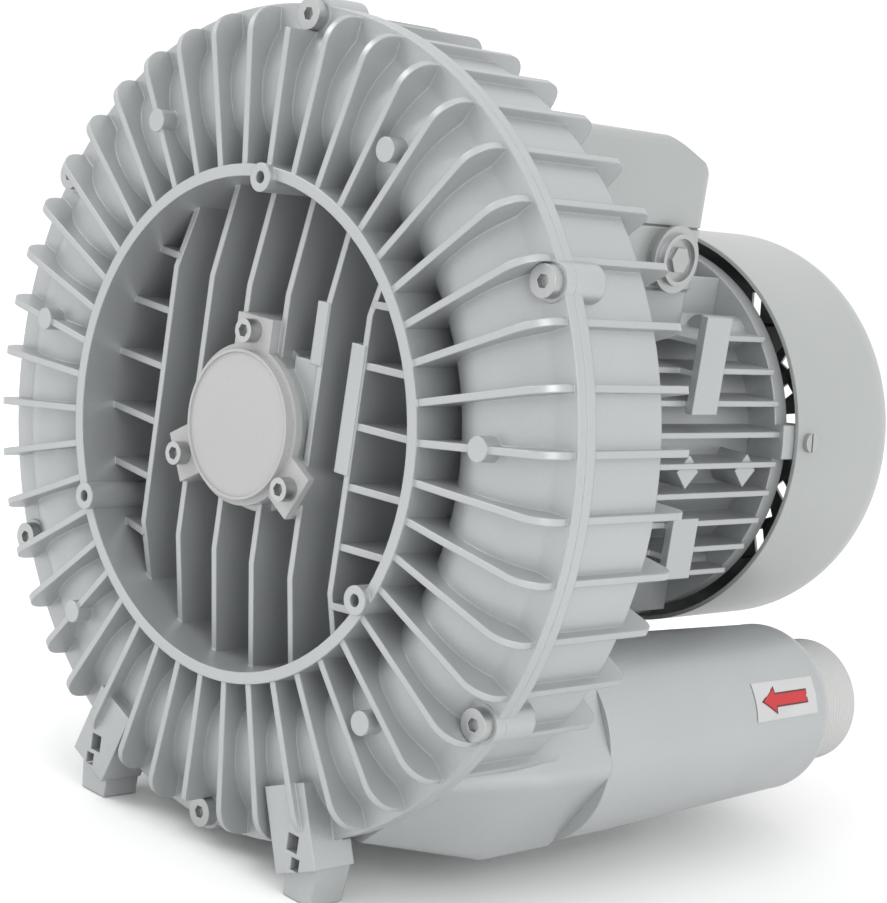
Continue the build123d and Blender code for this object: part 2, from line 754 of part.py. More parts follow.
def port_duct(side):
    """Air duct from the channel to the joint, narrower where it enters the channel."""
    with BuildPart() as solid:
        with BuildSketch(cross_plane(IMPELLER_REAR_Y - 5.0)):
            with Locations((side * DUCT_MOUTH_X, -DUCT_MOUTH_DROP)):
                Circle(DUCT_MOUTH_R)
        with BuildSketch(cross_plane(BLOCK_FULL_Y)):
            with Locations((side * PORT_X, -PORT_DROP)):
                Circle(PORT_BORE_R)
        loft()
        with BuildSketch(cross_plane(BLOCK_END_Y + 1.0)):
            with Locations((side * PORT_X, -PORT_DROP)):
                Circle(PORT_BORE_R)
        extrude(amount=BLOCK_END_Y + 1.0 - BLOCK_FULL_Y)
    return solid.part


def rear_foot(side):
    """Rear foot: floor plate under the silencer, sloping arm and upright gusset."""
    floor_z = -AXIS_HEIGHT
    top = floor_z + FOOT_PAD_H
    near = side * REAR_FOOT_X
    far = side * (REAR_FOOT_X + REAR_FOOT_W)
    arm = [
        (BLOCK_END_Y - 24.0, -160.0),
        (BLOCK_END_Y - 1.0, -160.0),
        (BLOCK_END_Y - 1.0, top + 9.0),
        (BLOCK_END_Y + 34.0, top),
        (REAR_FOOT_END_Y, top),
        (REAR_FOOT_END_Y, floor_z),
        (BLOCK_END_Y + 22.0, floor_z),
        (BLOCK_END_Y - 6.0, floor_z + 12.0),
        (BLOCK_END_Y - 24.0, floor_z + 16.0),
    ]
    gusset = [
        (BLOCK_END_Y - 2.0, -108.0),
        (BLOCK_END_Y - 2.0, floor_z + FOOT_PAD_H / 2),
        (REAR_FOOT_END_Y - 8.0, floor_z + FOOT_PAD_H / 2),
        (REAR_FOOT_END_Y - 8.0, top + 4.0),
    ]
    with BuildPart() as solid:
        add(side_plate(arm, (min(near, far), max(near, far))))
        web = side * (REAR_FOOT_X + REAR_WEB_T)
        add(side_plate(gusset, (min(near, web), max(near, web))))
        with BuildSketch(Plane.XY):
            with Locations((side * REAR_SLOT_X, RIM_Y + RIM_TO_FRONT_BOLT + FOOT_PITCH_Y)):
                SlotOverall(SLOT_LENGTH, SLOT_WIDTH)
        extrude(amount=FOOT_PAD_H, mode=Mode.SUBTRACT)
    return solid.part


def make_rear_housing():
    """The whole rear casting."""
    bosses = rods(FLANGE_BOSS_R, FLANGE_SCREW_PLACES, PARTING_Y, REAR_BOSS_END_Y)
    blocks = [port_block(side) for side, _ in PORTS]
    feet = [rear_foot(side) for side, _ in PORTS]
    ducts = [port_duct(side) for side, _ in PORTS]
    tapped = rods(M8_R + SLIP_GAP, FLANGE_SCREW_PLACES, PARTING_Y - 1.0, REAR_BOSS_END_Y - 4.0)
    seat_holes = rods(M6_R + SLIP_GAP, MOTOR_SCREW_PLACES, PLATE_BACK_Y, MOTOR_SEAT_Y + 1.0)
    joint_places = [(side * x, z) for x, z in SILENCER_SCREWS for side, _ in PORTS]
    joint_holes = rods(M6_R + SLIP_GAP, joint_places, BLOCK_END_Y - 14.0, BLOCK_END_Y + 1.0)
    with BuildPart() as housing:
        add(blocks)
        add(channel_space(), mode=Mode.SUBTRACT)
        add([housing_shell(), bosses] + copies(housing_fin(), FIN_ANGLES) + feet)
        add(ducts + [tapped, seat_holes, joint_holes], mode=Mode.SUBTRACT)
    return housing.part


write(make_rear_housing(), "rear_housing")


# ---------------------------------------------------------------------------------------------
# Rotor: impeller, shaft and what is clamped on it.
# ---------------------------------------------------------------------------------------------


def make_impeller():
    """Impeller: hub, disc, rim and web in one turning, with double-sided blades."""
    bore = SHAFT_R + SLIP_GAP
    disc_y = IMPELLER_REAR_Y - IMPELLER_DISC
    web_y = (BULGE_Y + WALL + BOWL_Y) / 2
    web_front = web_y - IMPELLER_WEB / 2
    web_back = web_y + IMPELLER_WEB / 2
    rim_front = FLOOR_END_Y - RIM_OVERLAP
    corners = [
        (bore, disc_y),
        (IMPELLER_RIM_BORE_R, disc_y),
        (IMPELLER_RIM_BORE_R, rim_front),
        (IMPELLER_RIM_R, rim_front),
        (IMPELLER_RIM_R, web_front),
        (IMPELLER_R, web_front),
        (IMPELLER_R, web_back),
        (IMPELLER_RIM_R, web_back),
        (IMPELLER_RIM_R, IMPELLER_REAR_Y),
        (IMPELLER_HUB_R, IMPELLER_REAR_Y),
        (IMPELLER_HUB_R, IMPELLER_HUB_END_Y),
        (bore, IMPELLER_HUB_END_Y),
    ]
    body = turned(list(zip(corners, corners[1:] + corners[:1])))
    blade = fin_plate(
        [
            (IMPELLER_RIM_R - 1.0, rim_front + 2.0),
            (IMPELLER_RIM_R + 1.0, IMPELLER_FRONT_Y + 1.5),
            (IMPELLER_R - BLADE_CORNER, IMPELLER_FRONT_Y + 1.5),
            (IMPELLER_R, IMPELLER_FRONT_Y + BLADE_CORNER),
            (IMPELLER_R, IMPELLER_REAR_Y - BLADE_CORNER),
            (IMPELLER_R - BLADE_CORNER, IMPELLER_REAR_Y - 1.5),
            (IMPELLER_RIM_R - 1.0, IMPELLER_REAR_Y - 1.5),
        ],
        BLADE_THICKNESS,
    )
    keyway = block(
        (-KEY_WIDTH / 2 - SLIP_GAP, KEY_WIDTH / 2 + SLIP_GAP),
        (disc_y - 1.0, IMPELLER_HUB_END_Y + 1.0),
        (0, KEY_SEAT + KEY_HEIGHT + LOOSE_GAP),
    )
    with BuildPart() as impeller:
        add(body)
        add(copies(blade, evenly(BLADE_COUNT)))
        add(keyway, mode=Mode.SUBTRACT)
    return impeller.part


def make_shaft():
    """Stepped shaft with the impeller keyway and a tapped front end."""
    steps = [
        (SHAFT_R, BEARING_Y, IMPELLER_HUB_END_Y),
        (SHAFT_BODY_R, IMPELLER_HUB_END_Y, SHAFT_BODY_END_Y),
        (SHAFT_NECK_R, SHAFT_BODY_END_Y, REAR_BEARING_Y),
        (REAR_BEARING_BORE_R, REAR_BEARING_Y, REAR_BEARING_END_Y),
        (FAN_SEAT_R, REAR_BEARING_END_Y, SHAFT_END_Y),
    ]
    keyway = block(
        (-KEY_WIDTH / 2, KEY_WIDTH / 2), (KEY_Y, KEY_Y + KEY_LENGTH), (KEY_SEAT, SHAFT_R + 1.0)
    )
    with BuildPart() as shaft:
        add([ring(0, radius, start, end) for radius, start, end in steps])
        add(keyway, mode=Mode.SUBTRACT)
        add(ring(0, M6_R + SLIP_GAP, BEARING_Y - 1.0, BEARING_Y + 20.0), mode=Mode.SUBTRACT)
    return shaft.part


def make_rotor_core():
    """Cage rotor: laminated cylinder with smaller end rings."""
    bore = SHAFT_BODY_R
    with BuildPart() as core:
        add(ring(bore, ROTOR_R, STATOR_Y, STATOR_END_Y))
        add(ring(END_RING_IN_R, ROTOR_R - 2.0, STATOR_Y - 8.0, STATOR_END_Y + 8.0))
    return core.part


def make_fan():
    """Cooling fan: hub, thin back disc and flat radial blades."""
    bore = FAN_SEAT_R + SLIP_GAP
    blade = fin_plate(
        [
            (FAN_HUB_R - 1.0, FAN_Y + 2.0),
            (FAN_R, FAN_Y + 2.0),
            (FAN_R, FAN_END_Y - 6.0),
            (FAN_R - 10.0, FAN_END_Y),
            (FAN_HUB_R - 1.0, FAN_END_Y),
        ],
        FAN_BLADE_T,
    )
    with BuildPart() as fan:
        add(ring(bore, FAN_R - 20.0, FAN_Y, FAN_Y + 3.0))
        add(ring(bore, FAN_HUB_R, FAN_Y, FAN_Y + 24.0))
        add(copies(blade, evenly(FAN_BLADE_COUNT)))
        add(ring(0, bore, FAN_Y - 1.0, FAN_END_Y + 1.0), mode=Mode.SUBTRACT)
    return fan.part


def make_clamp_screw():
    """Hexagon-head screw that clamps the washer, bearing, sleeve and impeller."""
    with BuildPart() as screw:
        with BuildSketch(cross_plane(CLAMP_Y)):
            RegularPolygon(CLAMP_SCREW_AF / sqrt(3), 6)
        extrude(amount=CLAMP_HEAD_H)
        add(ring(0, M6_R, CLAMP_Y, BEARING_Y + 18.0))
    return screw.part


CLAMP_Y = BEARING_Y - CLAMP_T
REAR_BEARING_END_Y = REAR_BEARING_Y + REAR_BEARING_WIDTH
KEY_BLOCK = block(
    (-KEY_WIDTH / 2, KEY_WIDTH / 2), (KEY_Y, KEY_Y + KEY_LENGTH), (KEY_SEAT, KEY_SEAT + KEY_HEIGHT)
)
write(make_impeller(), "impeller")
write(make_shaft(), "shaft")
write(KEY_BLOCK, "impeller_key")
write(ring(SHAFT_R + SLIP_GAP, SPACER_R, BEARING_END_Y, IMPELLER_REAR_Y - IMPELLER_DISC), "spacer_sleeve")
write(ring(M6_CLEAR_R, SPACER_R, CLAMP_Y, BEARING_Y), "clamp_washer")
write(make_clamp_screw(), "clamp_screw")
write(make_rotor_core(), "rotor_core")
write(make_fan(), "cooling_fan")
write(ring(FAN_SEAT_R + SLIP_GAP, FAN_SEAT_R + 4.0, FAN_Y + 24.0, FAN_Y + 26.0), "fan_clip")
write(ring(SHAFT_R + SLIP_GAP, RACE_SPLIT_R, BEARING_Y, BEARING_END_Y), "front_bearing_inner")
write(
    ring(REAR_BEARING_BORE_R + SLIP_GAP, REAR_RACE_SPLIT_R, REAR_BEARING_Y, REAR_BEARING_END_Y),
    "rear_bearing_inner",
)

# ---------------------------------------------------------------------------------------------
# Bearings' outer rings, shaft seal, bearing cap.
# ---------------------------------------------------------------------------------------------


def make_bearing_cap():
    """Cap over the front bearing: eared flange, raised disc with a thin lip, spigot behind."""
    flange_y = HUB_FACE_Y - CAP_FLANGE_T
    with BuildPart() as cap:
        with BuildSketch(cross_plane(HUB_FACE_Y)):
            cap_outline()
        extrude(amount=CAP_FLANGE_T)
        add(ring(0, CAP_DISC_R, CAP_FACE_Y, flange_y))
        add(ring(CAP_SPIGOT_R - 4.0, CAP_SPIGOT_R, HUB_FACE_Y, BEARING_Y - LOOSE_GAP))
        inner_face = CAP_FACE_Y + CAP_PLATE
        add(ring(0, CAP_CAVITY_R, inner_face, HUB_FACE_Y), mode=Mode.SUBTRACT)
        lip_in = CAP_DISC_R - CAP_LIP
        add(ring(0, lip_in, CAP_FACE_Y, CAP_FACE_Y + CAP_LIP_DEPTH), mode=Mode.SUBTRACT)
        holes = rods(M6_CLEAR_R, CAP_SCREW_PLACES, flange_y - 1.0, HUB_FACE_Y + 1.0)
        add(holes, mode=Mode.SUBTRACT)
    return cap.part


CAP_SEAT_Y = HUB_FACE_Y - CAP_FLANGE_T
write(
    ring(RACE_SPLIT_R + RUNNING_GAP, BEARING_OD_R - SLIP_GAP, BEARING_Y, BEARING_END_Y),
    "front_bearing_outer",
)
write(
    ring(
        REAR_RACE_SPLIT_R + RUNNING_GAP,
        REAR_BEARING_R - SLIP_GAP,
        REAR_BEARING_Y,
        REAR_BEARING_END_Y,
    ),
    "rear_bearing_outer",
)
write(ring(SPACER_R + RUNNING_GAP, SEAL_OD_R - SLIP_GAP, SEAL_Y, SEAL_Y + SEAL_WIDTH), "shaft_seal")
write(make_bearing_cap(), "bearing_cap")
write(
    screws(cross_plane(CAP_SEAT_Y), CAP_SCREW_PLACES, M6_R, 18.0, M6_HEAD_R, M6_HEAD_H, M6_SOCKET_AF),
    "cap_screws",
)
write(
    screws(
        cross_plane(FLANGE_BOSS_Y),
        FLANGE_SCREW_PLACES,
        M8_R,
        COVER_SCREW_LENGTH,
        M8_HEAD_R,
        M8_HEAD_H,
        M8_SOCKET_AF,
    ),
    "cover_screws",
)

# ---------------------------------------------------------------------------------------------
# Motor: frame with cooling fins, stator, end shield, fan cowl.
# ---------------------------------------------------------------------------------------------

FRAME_FLANGE_END_Y = MOTOR_SEAT_Y + FRAME_FLANGE
SHIELD_SCREW_PLACES = on_circle(SHIELD_SCREW_CIRCLE_R, evenly(4, 45.0))
SIDE_FIN_LEVELS = [index * FRAME_FIN_PITCH for index in range(-4, 5)]
END_FIN_PLACES = [index * FRAME_FIN_PITCH for index in range(-3, 4)]


def frame_fin(offset):
    """Straight cooling fin as a plate through the shell, level and reaching to both sides."""
    reach = sqrt(FRAME_FIN_R**2 - offset**2)
    return block(
        (-reach, reach),
        (FRAME_FIN_Y, FRAME_END_Y),
        (offset - FRAME_FIN_T / 2, offset + FRAME_FIN_T / 2),
    )


def end_fin(offset):
    """Upright cooling fin below the shell."""
    reach = sqrt(FRAME_FIN_R**2 - offset**2)
    return block(
        (offset - FRAME_FIN_T / 2, offset + FRAME_FIN_T / 2),
        (FRAME_FIN_Y, FRAME_END_Y),
        (-reach, 0),
    )


def top_fin(offset):
    """Upright cooling fin behind the terminal box."""
    reach = sqrt(FRAME_FIN_R**2 - offset**2)
    return block(
        (offset - FRAME_FIN_T / 2, offset + FRAME_FIN_T / 2),
        (BOX_END_Y + 4.0, FRAME_END_Y),
        (0, reach - 4.0),
    )


def make_motor_frame():
    """Finned motor frame with its front wall, spigot, box seat, side pads and screw lugs."""
    with BuildPart() as frame:
        add([frame_fin(z) for z in SIDE_FIN_LEVELS])
        add([end_fin(x) for x in END_FIN_PLACES])
        add([top_fin(x) for x in END_FIN_PLACES])
        add(block((-BOX_SEAT_X, BOX_SEAT_X), (BOX_Y + 2.0, BOX_END_Y - 2.0), (50.0, BOX_FLOOR)))
        for low, high in SIDE_PADS:
            add(block((SIDE_PAD_X - SIDE_PAD_T, SIDE_PAD_X), SIDE_PAD_YS, (low, high)))
            for z in SIDE_FIN_LEVELS:
                if low < z < high:
                    half = FRAME_FIN_T / 2
                    add(block((60.0, SIDE_PAD_X), SIDE_PAD_YS, (z - half, z + half)))
        with BuildSketch(Plane(origin=(0, RIM_Y, AXIS_HEIGHT - 3.0), x_dir=(0, 1, 0), z_dir=(1, 0, 0))):
            with Locations(*[(y, 0) for y in SIDE_BOSS_YS]):
                Rectangle(SIDE_BOSS_W, SIDE_BOSS_W, rotation=45)
        extrude(amount=FRAME_FIN_R - 2.0)
        add(rods(SHIELD_LUG_R, SHIELD_SCREW_PLACES, FRAME_END_Y - 26.0, FRAME_END_Y))
        add(ring(0, FRAME_R, MOTOR_SEAT_Y, FRAME_END_Y))
        add(ring(0, MOTOR_SEAT_R, MOTOR_SEAT_Y, FRAME_FLANGE_END_Y))
        add(ring(0, MOTOR_SEAT_BORE_R - SLIP_GAP, MOTOR_SEAT_Y - 6.0, MOTOR_SEAT_Y))
        above_seat = block((-FRAME_R, FRAME_R), (BOX_Y - 2.0, BOX_END_Y + 2.0), (BOX_FLOOR, FRAME_FIN_R))
        add(above_seat, mode=Mode.SUBTRACT)
        bore = ring(0, FRAME_BORE_R, FRAME_FLANGE_END_Y - 2.0, FRAME_END_Y + 1.0)
        add(bore, mode=Mode.SUBTRACT)
        spigot_bore = MOTOR_SEAT_BORE_R - 6.0
        add(ring(0, spigot_bore, MOTOR_SEAT_Y - 7.0, FRAME_FLANGE_END_Y), mode=Mode.SUBTRACT)
        flange_holes = rods(M6_CLEAR_R, MOTOR_SCREW_PLACES, MOTOR_SEAT_Y - 1.0, FRAME_FIN_Y)
        add(flange_holes, mode=Mode.SUBTRACT)
        shield_holes = rods(
            M6_R + SLIP_GAP, SHIELD_SCREW_PLACES, FRAME_END_Y - 16.0, FRAME_END_Y + 1.0
        )
        add(shield_holes, mode=Mode.SUBTRACT)
        with BuildSketch(Plane.XY.offset(AXIS_HEIGHT + BOX_FLOOR)):
            with Locations((0, RIM_Y + (BOX_Y + BOX_END_Y) / 2)):
                Circle(WIRE_HOLE_R)
        extrude(amount=-BOX_FLOOR + 50.0, mode=Mode.SUBTRACT)
    return frame.part


def make_windings():
    """Two rounded rings of winding, one at each end of the stator."""
    mid = (WINDING_R + WINDING_IN_R) / 2
    half = (WINDING_R - WINDING_IN_R) / 2
    with BuildPart() as coils:
        for face, sign in ((STATOR_Y, -1), (STATOR_END_Y, 1)):
            tip = face + sign * (WINDING_REACH - half)
            add(
                turned(
                    [
                        ((WINDING_IN_R, face), (WINDING_R, face)),
                        ((WINDING_R, face), (WINDING_R, tip)),
                        ((WINDING_R, tip), (mid, tip + sign * half), (WINDING_IN_R, tip)),
                        ((WINDING_IN_R, tip), (WINDING_IN_R, face)),
                    ]
                )
            )
    return coils.part


def make_end_shield():
    """Rear end shield: disc, spigot in the frame, bearing seat and four arms for the cowl."""
    seat_front = REAR_BEARING_Y - 2.0
    lip_front = REAR_BEARING_END_Y + SPRING_SPACE
    disc_end = FRAME_END_Y + SHIELD_THICKNESS
    arm = block((50.0, COWL_IN_R - LOOSE_GAP), (FRAME_END_Y, COWL_Y + 14.0), (-8.0, 8.0))
    arm_hole = rods_radial(M5_R + SLIP_GAP, COWL_IN_R - 16.0, COWL_IN_R)
    with BuildPart() as shield:
        add(copies(arm, COWL_SCREW_ANGLES))
        add(ring(COWL_IN_R - LOOSE_GAP, FLANGE_R, FRAME_END_Y - 1.0, COWL_Y + 20.0), mode=Mode.SUBTRACT)
        add(ring(0, END_SHIELD_R, FRAME_END_Y, disc_end))
        add(ring(FRAME_BORE_R - 8.0, FRAME_BORE_R - SLIP_GAP, FRAME_END_Y - 6.0, FRAME_END_Y))
        add(ring(0, REAR_BEARING_R + 7.0, seat_front, lip_front + 3.0))
        add(ring(0, REAR_BEARING_R, seat_front - 1.0, lip_front), mode=Mode.SUBTRACT)
        add(ring(0, FAN_SEAT_R + 2.0, lip_front - 1.0, lip_front + 4.0), mode=Mode.SUBTRACT)
        add(copies(arm_hole, COWL_SCREW_ANGLES), mode=Mode.SUBTRACT)
        holes = rods(M6_CLEAR_R, SHIELD_SCREW_PLACES, FRAME_END_Y - 1.0, disc_end + 1.0)
        add(holes, mode=Mode.SUBTRACT)
        head_room = rods(M6_HEAD_R + LOOSE_GAP, SHIELD_SCREW_PLACES, disc_end, COWL_Y + 20.0)
        add(head_room, mode=Mode.SUBTRACT)
    return shield.part


def rods_radial(radius, inner, outer):
    """Round bar pointing out from the axle to the right, at the cowl screws' station."""
    plane = Plane(origin=(inner, RIM_Y + COWL_SCREW_Y, AXIS_HEIGHT), z_dir=(1, 0, 0))
    with BuildPart() as solid:
        with BuildSketch(plane):
            Circle(radius)
        extrude(amount=outer - inner)
    return solid.part


def make_cowl():
    """Fan cowl: drawn cap with a rounded rear edge, slotted grille and screw holes."""
    corner_in = COWL_CORNER - COWL_WALL
    bend = sqrt(0.5)
    straight_end = COWL_END_Y - COWL_CORNER
    flat_r = COWL_R - COWL_CORNER
    outer_mid = (flat_r + bend * COWL_CORNER, straight_end + bend * COWL_CORNER)
    inner_mid = (flat_r + bend * corner_in, straight_end + bend * corner_in)
    inner_face = COWL_END_Y - COWL_WALL
    outline = [
        ((COWL_IN_R, COWL_Y), (COWL_R, COWL_Y)),
        ((COWL_R, COWL_Y), (COWL_R, straight_end)),
        ((COWL_R, straight_end), outer_mid, (flat_r, COWL_END_Y)),
        ((flat_r, COWL_END_Y), (0, COWL_END_Y)),
        ((0, COWL_END_Y), (0, inner_face)),
        ((0, inner_face), (flat_r, inner_face)),
        ((flat_r, inner_face), inner_mid, (COWL_IN_R, straight_end)),
        ((COWL_IN_R, straight_end), (COWL_IN_R, COWL_Y)),
    ]
    hole = rods_radial(M5_CLEAR_R, COWL_IN_R - 5.0, COWL_R + 5.0)
    slots = []
    for radius, length, count in GRILLE_RINGS:
        slot = block(
            (radius - length / 2, radius + length / 2),
            (inner_face - 1.0, COWL_END_Y + 1.0),
            (-GRILLE_SLOT_W / 2, GRILLE_SLOT_W / 2),
        )
        slots += copies(slot, evenly(count, 180.0 / count))
    with BuildPart() as cowl:
        add(turned(outline))
        add(slots + copies(hole, COWL_SCREW_ANGLES), mode=Mode.SUBTRACT)
    return cowl.part


def make_cowl_screws():
    """Round-head screws that hold the cowl on the end shield."""
    head = rods_radial(M5_HEAD_R, COWL_R, COWL_R + 2.5)
    shank = rods_radial(M5_R, COWL_IN_R - 12.0, COWL_R)
    slot_plane = Plane(origin=(COWL_R + 2.5, RIM_Y + COWL_SCREW_Y, AXIS_HEIGHT), z_dir=(1, 0, 0))
    with BuildPart() as screw:
        add([head, shank])
        with BuildSketch(slot_plane):
            Rectangle(2 * M5_HEAD_R + 1.0, 1.2)
        extrude(amount=-1.2, mode=Mode.SUBTRACT)
    with BuildPart() as all_screws:
        add(copies(screw.part, COWL_SCREW_ANGLES))
    return all_screws.part


def rear_facing(station):
    """Plane across the axle that looks backwards; x runs to the left."""
    return Plane(origin=(0, RIM_Y + station, AXIS_HEIGHT), x_dir=(-1, 0, 0), z_dir=(0, 1, 0))


write(make_motor_frame(), "motor_frame")
write(ring(STATOR_BORE_R, FRAME_BORE_R - SLIP_GAP, STATOR_Y, STATOR_END_Y), "stator_core")
write(make_windings(), "windings")
write(make_end_shield(), "end_shield")
SPRING_Y = REAR_BEARING_END_Y + LOOSE_GAP / 2
write(ring(20.0, REAR_BEARING_R - 0.5, SPRING_Y, SPRING_Y + SPRING_SPACE - LOOSE_GAP), "wave_spring")
write(make_cowl(), "cowl")
write(make_cowl_screws(), "cowl_screws")
write(
    screws(
        rear_facing(FRAME_FLANGE_END_Y),
        MOTOR_SCREW_PLACES,
        M6_R,
        16.0,
        M6_HEAD_R,
        M6_HEAD_H,
        M6_SOCKET_AF,
    ),
    "motor_screws",
)
write(
    screws(
        rear_facing(FRAME_END_Y + SHIELD_THICKNESS),
        SHIELD_SCREW_PLACES,
        M6_R,
        22.0,
        M6_HEAD_R,
        M6_HEAD_H,
        M6_SOCKET_AF,
    ),
    "shield_screws",
)

# ---------------------------------------------------------------------------------------------
# Terminal box.
# ---------------------------------------------------------------------------------------------

BOX_MID_Y = (BOX_Y + BOX_END_Y) / 2
BASE_Z = BOX_FLOOR + GASKET
LID_Z = BOX_SPLIT + 1.0
BOX_LENGTH = BOX_END_Y - BOX_Y
LID_SCREW_PLACES = [
    (sx * (BOX_HALF_X - LID_SCREW_INSET), sy * (BOX_LENGTH / 2 - LID_SCREW_INSET))
    for sx in (-1, 1)
    for sy in (-1, 1)
]


def level_plane(z):
    """Level plane centred on the terminal box, at a height from the axle."""
    return Plane.XY.offset(AXIS_HEIGHT + z).move(Location((0, RIM_Y + BOX_MID_Y, 0)))


def box_prism(inset, low, high, corner):
    """Upright prism with the terminal box outline, smaller by the inset on each side."""
    with BuildPart() as solid:
        with BuildSketch(level_plane(low)):
            RectangleRounded(2 * (BOX_HALF_X - inset), BOX_LENGTH - 2 * inset, corner)
        extrude(amount=high - low)
    return solid.part


def posts(radius, places, low, high):
    """Upright round bars at places on the terminal box."""
    with BuildPart() as solid:
        with BuildSketch(level_plane(low)):
            with Locations(*places):
                Circle(radius)
        extrude(amount=high - low)
    return solid.part


def make_box_base():
    """Terminal box base with corner posts and two threaded cable entries on the right."""
    entry_plane = Plane(origin=(BOX_HALF_X, RIM_Y, AXIS_HEIGHT), x_dir=(0, 1, 0), z_dir=(1, 0, 0))
    entries = [(y, ENTRY_Z) for y in ENTRY_YS]
    with BuildPart() as base:
        add(box_prism(0, BASE_Z, BOX_SPLIT, BOX_CORNER))
        inner = box_prism(BOX_WALL, BASE_Z + BOX_WALL, BOX_SPLIT + 1.0, BOX_CORNER - BOX_WALL)
        add(inner, mode=Mode.SUBTRACT)
        add(posts(LID_POST_R, LID_SCREW_PLACES, BASE_Z, BOX_SPLIT))
        with BuildSketch(entry_plane):
            with Locations(*entries):
                Circle(ENTRY_R)
        extrude(amount=ENTRY_REACH)
        with BuildSketch(entry_plane.offset(ENTRY_REACH)):
            with Locations(*entries):
                Circle(ENTRY_BORE_R)
        extrude(amount=-ENTRY_REACH - BOX_WALL - 1.0, mode=Mode.SUBTRACT)
        add(posts(WIRE_HOLE_R, [(0, 0)], BASE_Z - 1.0, BASE_Z + 5.0), mode=Mode.SUBTRACT)
        add(posts(M5_R + SLIP_GAP, LID_SCREW_PLACES, BASE_Z + 6.0, BOX_SPLIT + 1.0), mode=Mode.SUBTRACT)
    return base.part


def make_box_lid():
    """Terminal box lid: deep cover whose rear top slopes down, with sunk screws."""
    rear = [(184.0, BOX_TOP + 1.0), (184.0, BOX_TOP), (209.0, 134.0), (223.0, 123.0), (223.0, BOX_TOP + 1.0)]
    rear_in = [(y - 1.5, z - BOX_WALL) for y, z in rear]
    with BuildPart() as lid:
        add(box_prism(0, LID_Z, BOX_TOP, BOX_CORNER))
        edge = lid.edges().group_by(Axis.Z)[-1]
        fillet(edge, LID_EDGE_R)
        add(side_plate(rear, (-BOX_HALF_X - 1.0, BOX_HALF_X + 1.0)), mode=Mode.SUBTRACT)
    with BuildPart() as hollow:
        add(box_prism(BOX_WALL, LID_Z - 1.0, BOX_TOP - BOX_WALL, BOX_CORNER - BOX_WALL))
        add(side_plate(rear_in, (-BOX_HALF_X, BOX_HALF_X)), mode=Mode.SUBTRACT)
        add(posts(LID_POST_R, LID_SCREW_PLACES, LID_Z - 2.0, BOX_TOP), mode=Mode.SUBTRACT)
    with BuildPart() as cover:
        add(lid.part)
        add(hollow.part, mode=Mode.SUBTRACT)
        add(posts(M5_CLEAR_R, LID_SCREW_PLACES, LID_Z - 1.0, BOX_TOP + 1.0), mode=Mode.SUBTRACT)
        sunk = posts(M5_HEAD_R + LOOSE_GAP, LID_SCREW_PLACES, LID_SEAT_Z, BOX_TOP + 1.0)
        add(sunk, mode=Mode.SUBTRACT)
    return cover.part


def make_box_gasket(low, high, hollow_inset):
    """Flat seal with the outline of the box."""
    with BuildPart() as seal:
        add(box_prism(1.0, low, high, BOX_CORNER - 1.0))
        if hollow_inset > 0:
            inner = box_prism(hollow_inset, low - 1.0, high + 1.0, BOX_CORNER - BOX_WALL)
            add(inner, mode=Mode.SUBTRACT)
            add(posts(LID_POST_R, LID_SCREW_PLACES, low, high))
            add(posts(M5_CLEAR_R, LID_SCREW_PLACES, low - 1.0, high + 1.0), mode=Mode.SUBTRACT)
        else:
            add(posts(WIRE_HOLE_R, [(0, 0)], low - 1.0, high + 1.0), mode=Mode.SUBTRACT)
    return seal.part


def make_entry_plug():
    """Round plug in the rear cable entry: flange, raised rim, and a hexagon in its dish."""
    plane = Plane(
        origin=(BOX_HALF_X + ENTRY_REACH, RIM_Y + ENTRY_YS[1], AXIS_HEIGHT + ENTRY_Z),
        x_dir=(0, 1, 0),
        z_dir=(1, 0, 0),
    )
    with BuildPart() as plug:
        with BuildSketch(plane):
            Circle(PLUG_FLANGE_R)
        extrude(amount=PLUG_FLANGE_T)
        with BuildSketch(plane):
            Circle(PLUG_RIM_R)
            Circle(PLUG_DISH_R, mode=Mode.SUBTRACT)
            RegularPolygon(PLUG_AF / sqrt(3), 6)
        extrude(amount=PLUG_HEAD_H)
        with BuildSketch(plane):
            Circle(ENTRY_BORE_R - SLIP_GAP)
        extrude(amount=-ENTRY_REACH - BOX_WALL)
    return plug.part


BOARD_STUDS = [(x, y) for x in (-16.0, 0.0, 16.0) for y in (18.0, 34.0)]
BOARD_Z = BASE_Z + BOX_WALL


def make_terminal_board():
    """Insulating board with six stud holes, clear of the wire hole."""
    with BuildPart() as board:
        with BuildSketch(level_plane(BOARD_Z)):
            with Locations((0, 26.0)):
                Rectangle(56.0, 34.0)
        extrude(amount=BOARD_T)
        holes = posts(M5_R + SLIP_GAP, BOARD_STUDS, BOARD_Z + 2.0, BOARD_Z + BOARD_T + 1.0)
        add(holes, mode=Mode.SUBTRACT)
    return board.part


write(make_box_gasket(BOX_FLOOR, BASE_Z, 0), "box_gasket")
write(make_box_base(), "box_base")
write(make_box_gasket(BOX_SPLIT, LID_Z, BOX_WALL), "lid_gasket")
write(make_box_lid(), "box_lid")
write(
    screws(level_plane(LID_SEAT_Z), LID_SCREW_PLACES, M5_R, LID_SCREW_LENGTH, M5_HEAD_R, M5_HEAD_H, 4.0),
    "lid_screws",
)
write(make_terminal_board(), "terminal_board")
write(posts(M5_R, BOARD_STUDS, BOARD_Z + 2.0, BOARD_Z + 22.0), "terminal_studs")
write(make_entry_plug(), "entry_plug")

# ---------------------------------------------------------------------------------------------
# Silencers on the two ports.
# ---------------------------------------------------------------------------------------------


